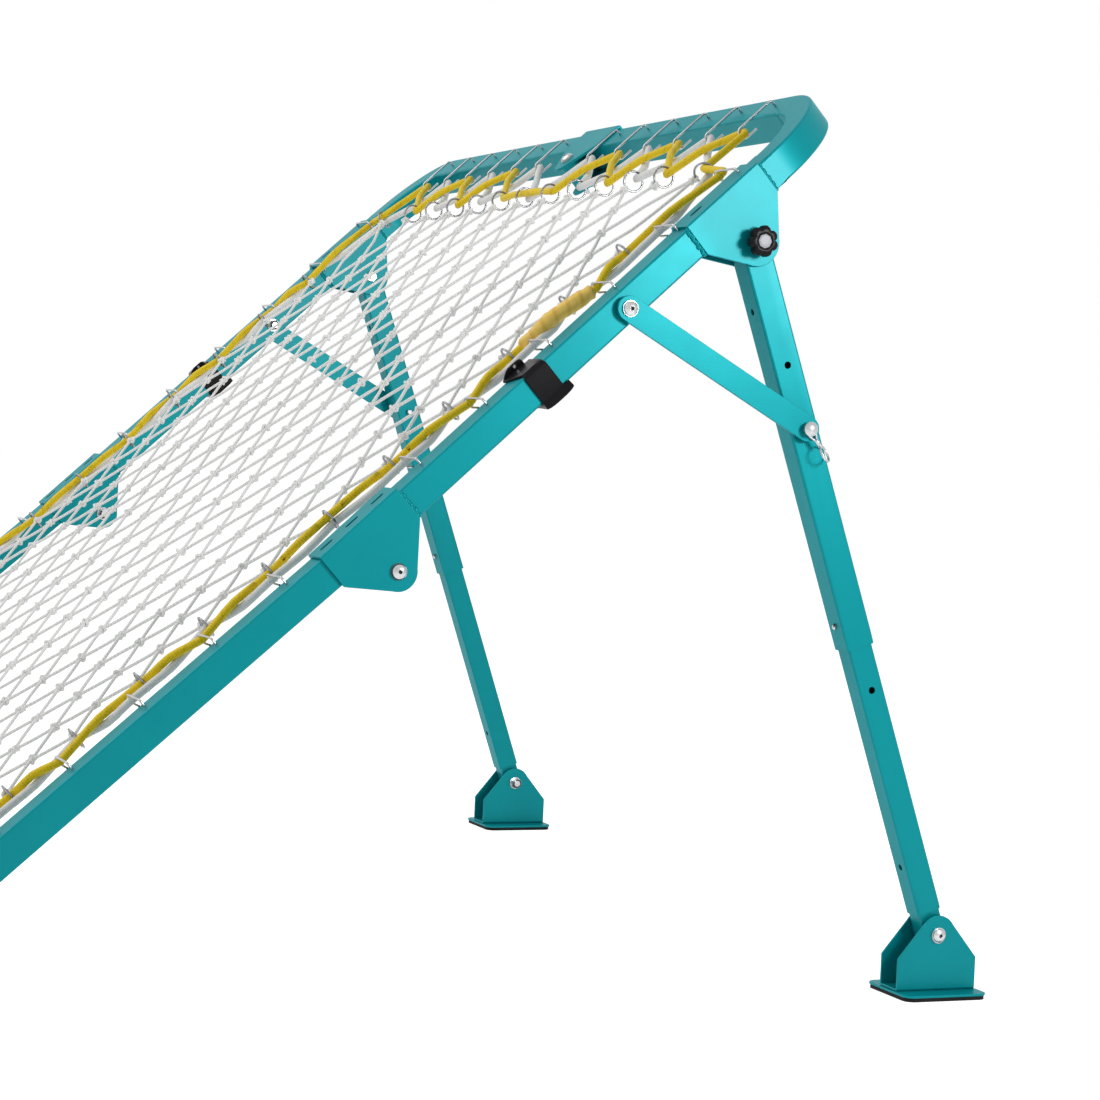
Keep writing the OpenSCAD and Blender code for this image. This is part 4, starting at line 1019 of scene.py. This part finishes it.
def wrapSleeve(flat):
    # tape over the yellow cord's joint, from past its third ring nearly to its fourth hook
    first = 3 * sleeve["steps"] * sleeve["station"]  # three held points at each station
    path = [onFrame(*p) for p in tautPath(flat, sleeve["steps"])[first + sleeve["from"]:first + sleeve["to"]]]
    rng = random.Random(sleeve["seed"])
    radii = []
    for f in (k / (len(path) - 1) for k in range(len(path))):
        swell = (sleeve["swell"] * sin(pi * f) + sleeve["wave"] * sin(sleeve["waves"] * f + 1)
                 + rng.uniform(-1, 1) * sleeve["crinkle"])
        ends = min(1.0, sleeve["endRise"] * min(f, 1 - f) + sleeve["endStart"])
        radii.append(sleeve["endR"] + (sleeve["r"] - sleeve["endR"] + swell) * ends)
    wrap = meshFrom("tape_sleeve", [sweep(path, radii, sleeve["around"], False, sleeve["pitch"])], sleeveTape)
    for v, normal in zip(wrap.vertices, [n.vector.copy() for n in wrap.vertex_normals]):
        v.co += sleeve["lump"] * mathutils.noise.noise(v.co * sleeve["lumpScale"]) * normal
    tape = addObject("tape_sleeve", wrap)
    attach(tape, "upper_frame")
    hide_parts("cord_sleeve")


for odd, cordName, finish, slotName in ((0, "yellow_cord", yellowBungee, "yellow_bungee"),
                                        (1, "white_cord", whiteBungee, "white_bungee")):
    flat = cordRoute(odd)
    path = [onFrame(*p) for p in tautPath(flat, 2)]
    braid = sweep(path, lacing["cordR"], cordLook["around"], True, cordLook["pitch"])
    cord = addObject(cordName + "_braid", meshFrom(cordName + "_braid", [braid], finish))
    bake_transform(cord)
    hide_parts(cordName)
    if odd == 0:
        wrapSleeve(flat)
print("cords laced")


# knobs, pins' wires and welds

knobLook = {"r": 0.0195, "height": 0.02, "lobes": 7, "lobeRound": 0.55, "out": 0.0266,
            "around": 84, "reflectionR": 0.0083, "reflectionLobes": 8, "reflectionRound": 0.8, "reflectionAround": 48}


def lobed(lobes, roundness):
    return lambda angle: abs(cos(lobes * angle / 2)) ** roundness - 1.0


def makeKnob(side):
    place = flips[side] @ onLeg @ Matrix.Translation((knobLook["out"], 0, 0)) @ turned(90, "Y")
    r, h, c = knobLook["r"], knobLook["height"], knobLook["reflectionR"]
    levels = [(0.0, 0.0094, 0.0), (0.06 * h, 0.0098, 0.0), (0.26 * h, 0.0098, 0.0), (0.29 * h, 0.0125, 0.05),
              (0.31 * h, r * 0.86, 0.2), (0.36 * h, r * 0.95, 0.23), (0.44 * h, r * 0.995, 0.25),
              (0.78 * h, r * 0.995, 0.25), (0.88 * h, r * 0.96, 0.24), (0.95 * h, r * 0.88, 0.21),
              (0.985 * h, r * 0.76, 0.14), (0.99 * h, r * 0.6, 0.04), (0.985 * h, r * 0.47, 0.0),
              (0.93 * h, r * 0.45, 0.0)]
    # the pale disc on the knob's face stands in for a softbox's reflection: a painted reflection
    reflectionLevels = [(0.91 * h, c, -0.07), (0.965 * h, c, -0.07), (0.985 * h, c * 0.95, -0.07),
                 (0.998 * h, c * 0.8, -0.05), (1.0 * h, c * 0.45, 0.0), (1.0 * h, c * 0.1, 0.0)]
    grip = moved(lathe(levels, knobLook["around"], lobed(knobLook["lobes"], knobLook["lobeRound"])), place)
    reflectionEdge = lobed(knobLook["reflectionLobes"], knobLook["reflectionRound"])
    disc = moved(lathe(reflectionLevels, knobLook["reflectionAround"], reflectionEdge), place)
    knob = addObject(f"star_knob_{side}_grip", meshFrom("knobGrip", [grip], blackPlastic))
    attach(knob, f"{side}_knob")
    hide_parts(f"star_knob_{side}")
    reflection = addObject(f"knob_cap_{side}", meshFrom("knobReflectionDisc", [disc], knobPaintedReflection))
    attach(reflection, f"{side}_knob")


pinWire = {"out": 0.0323, "lockAt": 0.2375, "hang": 17.8, "eyeR": 0.0066, "wireR": 0.0014, "drop": 0.029,
           "ringR": 0.0112, "ringWireR": 0.0011, "ringTurn": 52, "eyeletR": 0.0021, "eyeletWireR": 0.0007}


def makePinWire(side):
    # wire stirrup round the pin's head, its ferrule, and the split ring in its eyelet
    hanging = Matrix.Translation((pinWire["out"], 0, -pinWire["lockAt"])) @ turned(pinWire["hang"], "X")
    place = flips[side] @ onLeg @ hanging
    eye, low, ringR = pinWire["eyeR"], -pinWire["drop"], pinWire["ringR"]
    shank = [(0.0013, low + 0.006), (0.0016, low + 0.013), (0.0036, -0.011)]
    loop = [(eye * cos(radians(a)), eye * sin(radians(a))) for a in range(205, -26, -23)]
    stirrup = [Vector((0, y, z)) for y, z in [(-y, z) for y, z in shank] + loop + shank[::-1]]
    ferrule = [(low + 0.0035, 0.0018, 0.0), (low + 0.0042, 0.0027, 0.0), (low + 0.0125, 0.0028, 0.0),
               (low + 0.0132, 0.002, 0.0)]
    middle = low - ringR + 0.0034
    ringTurn = turned(pinWire["ringTurn"], "Z")
    coil = []
    for f in (k / 72 for k in range(73)):  # two turns, side by side
        a = 4 * pi * f
        x = (2 * f - 1) * pinWire["ringWireR"]
        coil.append(ringTurn @ Vector((x, ringR * sin(a), middle + ringR * cos(a))))
    eyelet = [ringTurn @ Vector((0.0018 * cos(a), 0.0, low + 0.0028 + pinWire["eyeletR"] * sin(a)))
              for a in turns(12)]
    parts = [moved(part, place) for part in (
        sweep(smoothPath(stirrup, 4, False), pinWire["wireR"], 10), lathe(ferrule, 20),
        sweep(coil, pinWire["ringWireR"], 8), sweep(eyelet, pinWire["eyeletWireR"], 8, True))]
    ring = addObject(f"pin_wire_{side}", meshFrom("pinWireForm", parts, zincPlate))
    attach(ring, f"{side}_pin_ring")
    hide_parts(f"pin_ring_{side}")


for side in sides:
    makeKnob(side)
    makePinWire(side)

welding = {"step": 0.003, "drop": 0.0033, "legBracketAt": 0.604, "bracketHalf": 0.061, "off": 0.0012,
           "points": 13, "inset": 0.002, "wave": 0.0012, "waveStep": 1.9, "waveShift": 50, "seed": 7}


def seamPoints(s, x):
    # wavy seam across a side tube's outer or inner face, at one end of a bracket
    last = welding["points"] - 1
    points = []
    for k in range(welding["points"]):
        t = -welding["inset"] - (stand["tubeW"] - 2 * welding["inset"]) * k / last
        shift = welding["wave"] * sin(k * welding["waveStep"] + s * welding["waveShift"])
        points.append(tuple(onFrame(x, s + shift, t)))
    return points


def makeWelds():
    reach = welding["bracketHalf"] + welding["off"]
    points = []
    for x in (-1, 1):
        for face in (x * stand["halfW"], x * (stand["halfW"] - stand["tubeW"])):
            points += seamPoints(welding["legBracketAt"] - reach, face)
            points += seamPoints(welding["legBracketAt"] + reach, face)
            points += seamPoints(reach, face)
    mesh = bpy.data.meshes.new("seams")
    edges = [(i, i + 1) for i in range(len(points) - 1) if (i + 1) % welding["points"]]
    mesh.from_pydata(points, edges, [])
    welds = grow(addObject("seams", mesh), weldSeam, "upper_welds", {
        "Step": welding["step"], "Drop Size": welding["drop"], "Seed": welding["seed"], "Finish": tealCoat})
    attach(welds, "upper_frame")


makeWelds()
print("knobs, pin wires and welds made")


# stage, light and camera

stage = {"half": 30, "floor": (0.88, 0.88, 0.88), "floorRough": 0.9, "floorSpecular": 0.1, "floorGlow": 0.7,
         "fill": (0.97, 0.985, 1.0), "fillStrength": 0.42}
lamps = {
    "keySoftbox": {"place": (2.35, 1.1, 1.2), "aim": (0.76, 0.35, 0.92), "size": (0.42, 0.42), "power": 20},
    "topSoftbox": {"place": (-0.9, -2.2, 3.7), "aim": (0.0, 0.0, 0.5), "size": (3.0, 3.0), "power": 66},
    "frontFill": {"place": (1.2, -4.2, 1.6), "aim": (0.2, 0.0, 0.6), "size": (2.4, 2.0), "power": 14},
}
view = {"place": (4.0063, -1.1895, 0.7102), "azimuth": 67.965, "elevation": 2.555, "roll": 2.441, "lens": 96.47}


def seenRays(tree):
    # one for rays that show the backdrop, nought for those that light by it
    rays = tree.nodes.new("ShaderNodeLightPath").outputs
    return math2(tree, "MAXIMUM", rays["Is Camera Ray"],
                 math2(tree, "MAXIMUM", rays["Is Glossy Ray"], rays["Is Transmission Ray"]))


def makeStage():
    mesh = bpy.data.meshes.new("floorPlane")
    corners = [(x * stage["half"], y * stage["half"], 0) for x, y in ((-1, -1), (1, -1), (1, 1), (-1, 1))]
    mesh.from_pydata(corners, [], [(0, 1, 2, 3)])
    floor = addObject("floor", mesh)
    paper, tree, shader = finishNodes("floorPaper", stage["floorRough"])[:3]
    feed(tree, shader.inputs["Base Color"], stage["floor"])
    feed(tree, shader.inputs["Specular IOR Level"], stage["floorSpecular"])
    feed(tree, shader.inputs["Emission Color"], (1, 1, 1))
    feed(tree, shader.inputs["Emission Strength"], math2(tree, "MULTIPLY", seenRays(tree), stage["floorGlow"]))
    mesh.materials.append(paper)


def makeWorld():
    world = bpy.data.worlds.new("softWhite")
    scene.world = world
    world.use_nodes = True
    tree = world.node_tree
    tree.nodes.clear()
    fill = addNode(tree, "ShaderNodeBackground", {"Color": stage["fill"], "Strength": stage["fillStrength"]})
    white = addNode(tree, "ShaderNodeBackground", {"Color": (1, 1, 1), "Strength": 1.0})
    mix = addNode(tree, "ShaderNodeMixShader", {0: seenRays(tree), 1: fill.outputs[0], 2: white.outputs[0]})
    addNode(tree, "ShaderNodeOutputWorld", {0: mix.outputs[0]})


def areaLight(name, look):
    data = bpy.data.lights.new(name, "AREA")
    data.shape = "RECTANGLE"
    data.size, data.size_y = look["size"]
    data.energy = look["power"]
    lamp = addObject(name, data)
    lamp.location = look["place"]
    lamp.visible_camera = False
    lamp.rotation_euler = (Vector(look["aim"]) - Vector(look["place"])).to_track_quat("-Z", "Y").to_euler()


def makeCamera():
    a, e, c = (radians(view[k]) for k in ("azimuth", "elevation", "roll"))
    back = Vector((sin(a) * cos(e), -cos(a) * cos(e), sin(e)))
    right = Vector((cos(a), sin(a), 0))
    up = back.cross(right)
    r = cos(c) * right + sin(c) * up
    u = -sin(c) * right + cos(c) * up
    data = bpy.data.cameras.new("productCamera")
    data.lens = view["lens"]
    data.sensor_width = 36.0
    data.clip_end = 200.0
    camera = addObject("productCamera", data)
    camera.matrix_world = Matrix.Translation(view["place"]) @ Matrix((r, u, back)).transposed().to_4x4()
    scene.camera = camera


makeStage()
makeWorld()
for lampName, look in lamps.items():
    areaLight(lampName, look)
makeCamera()
scene.view_settings.view_transform = "Standard"
print("stage lit")
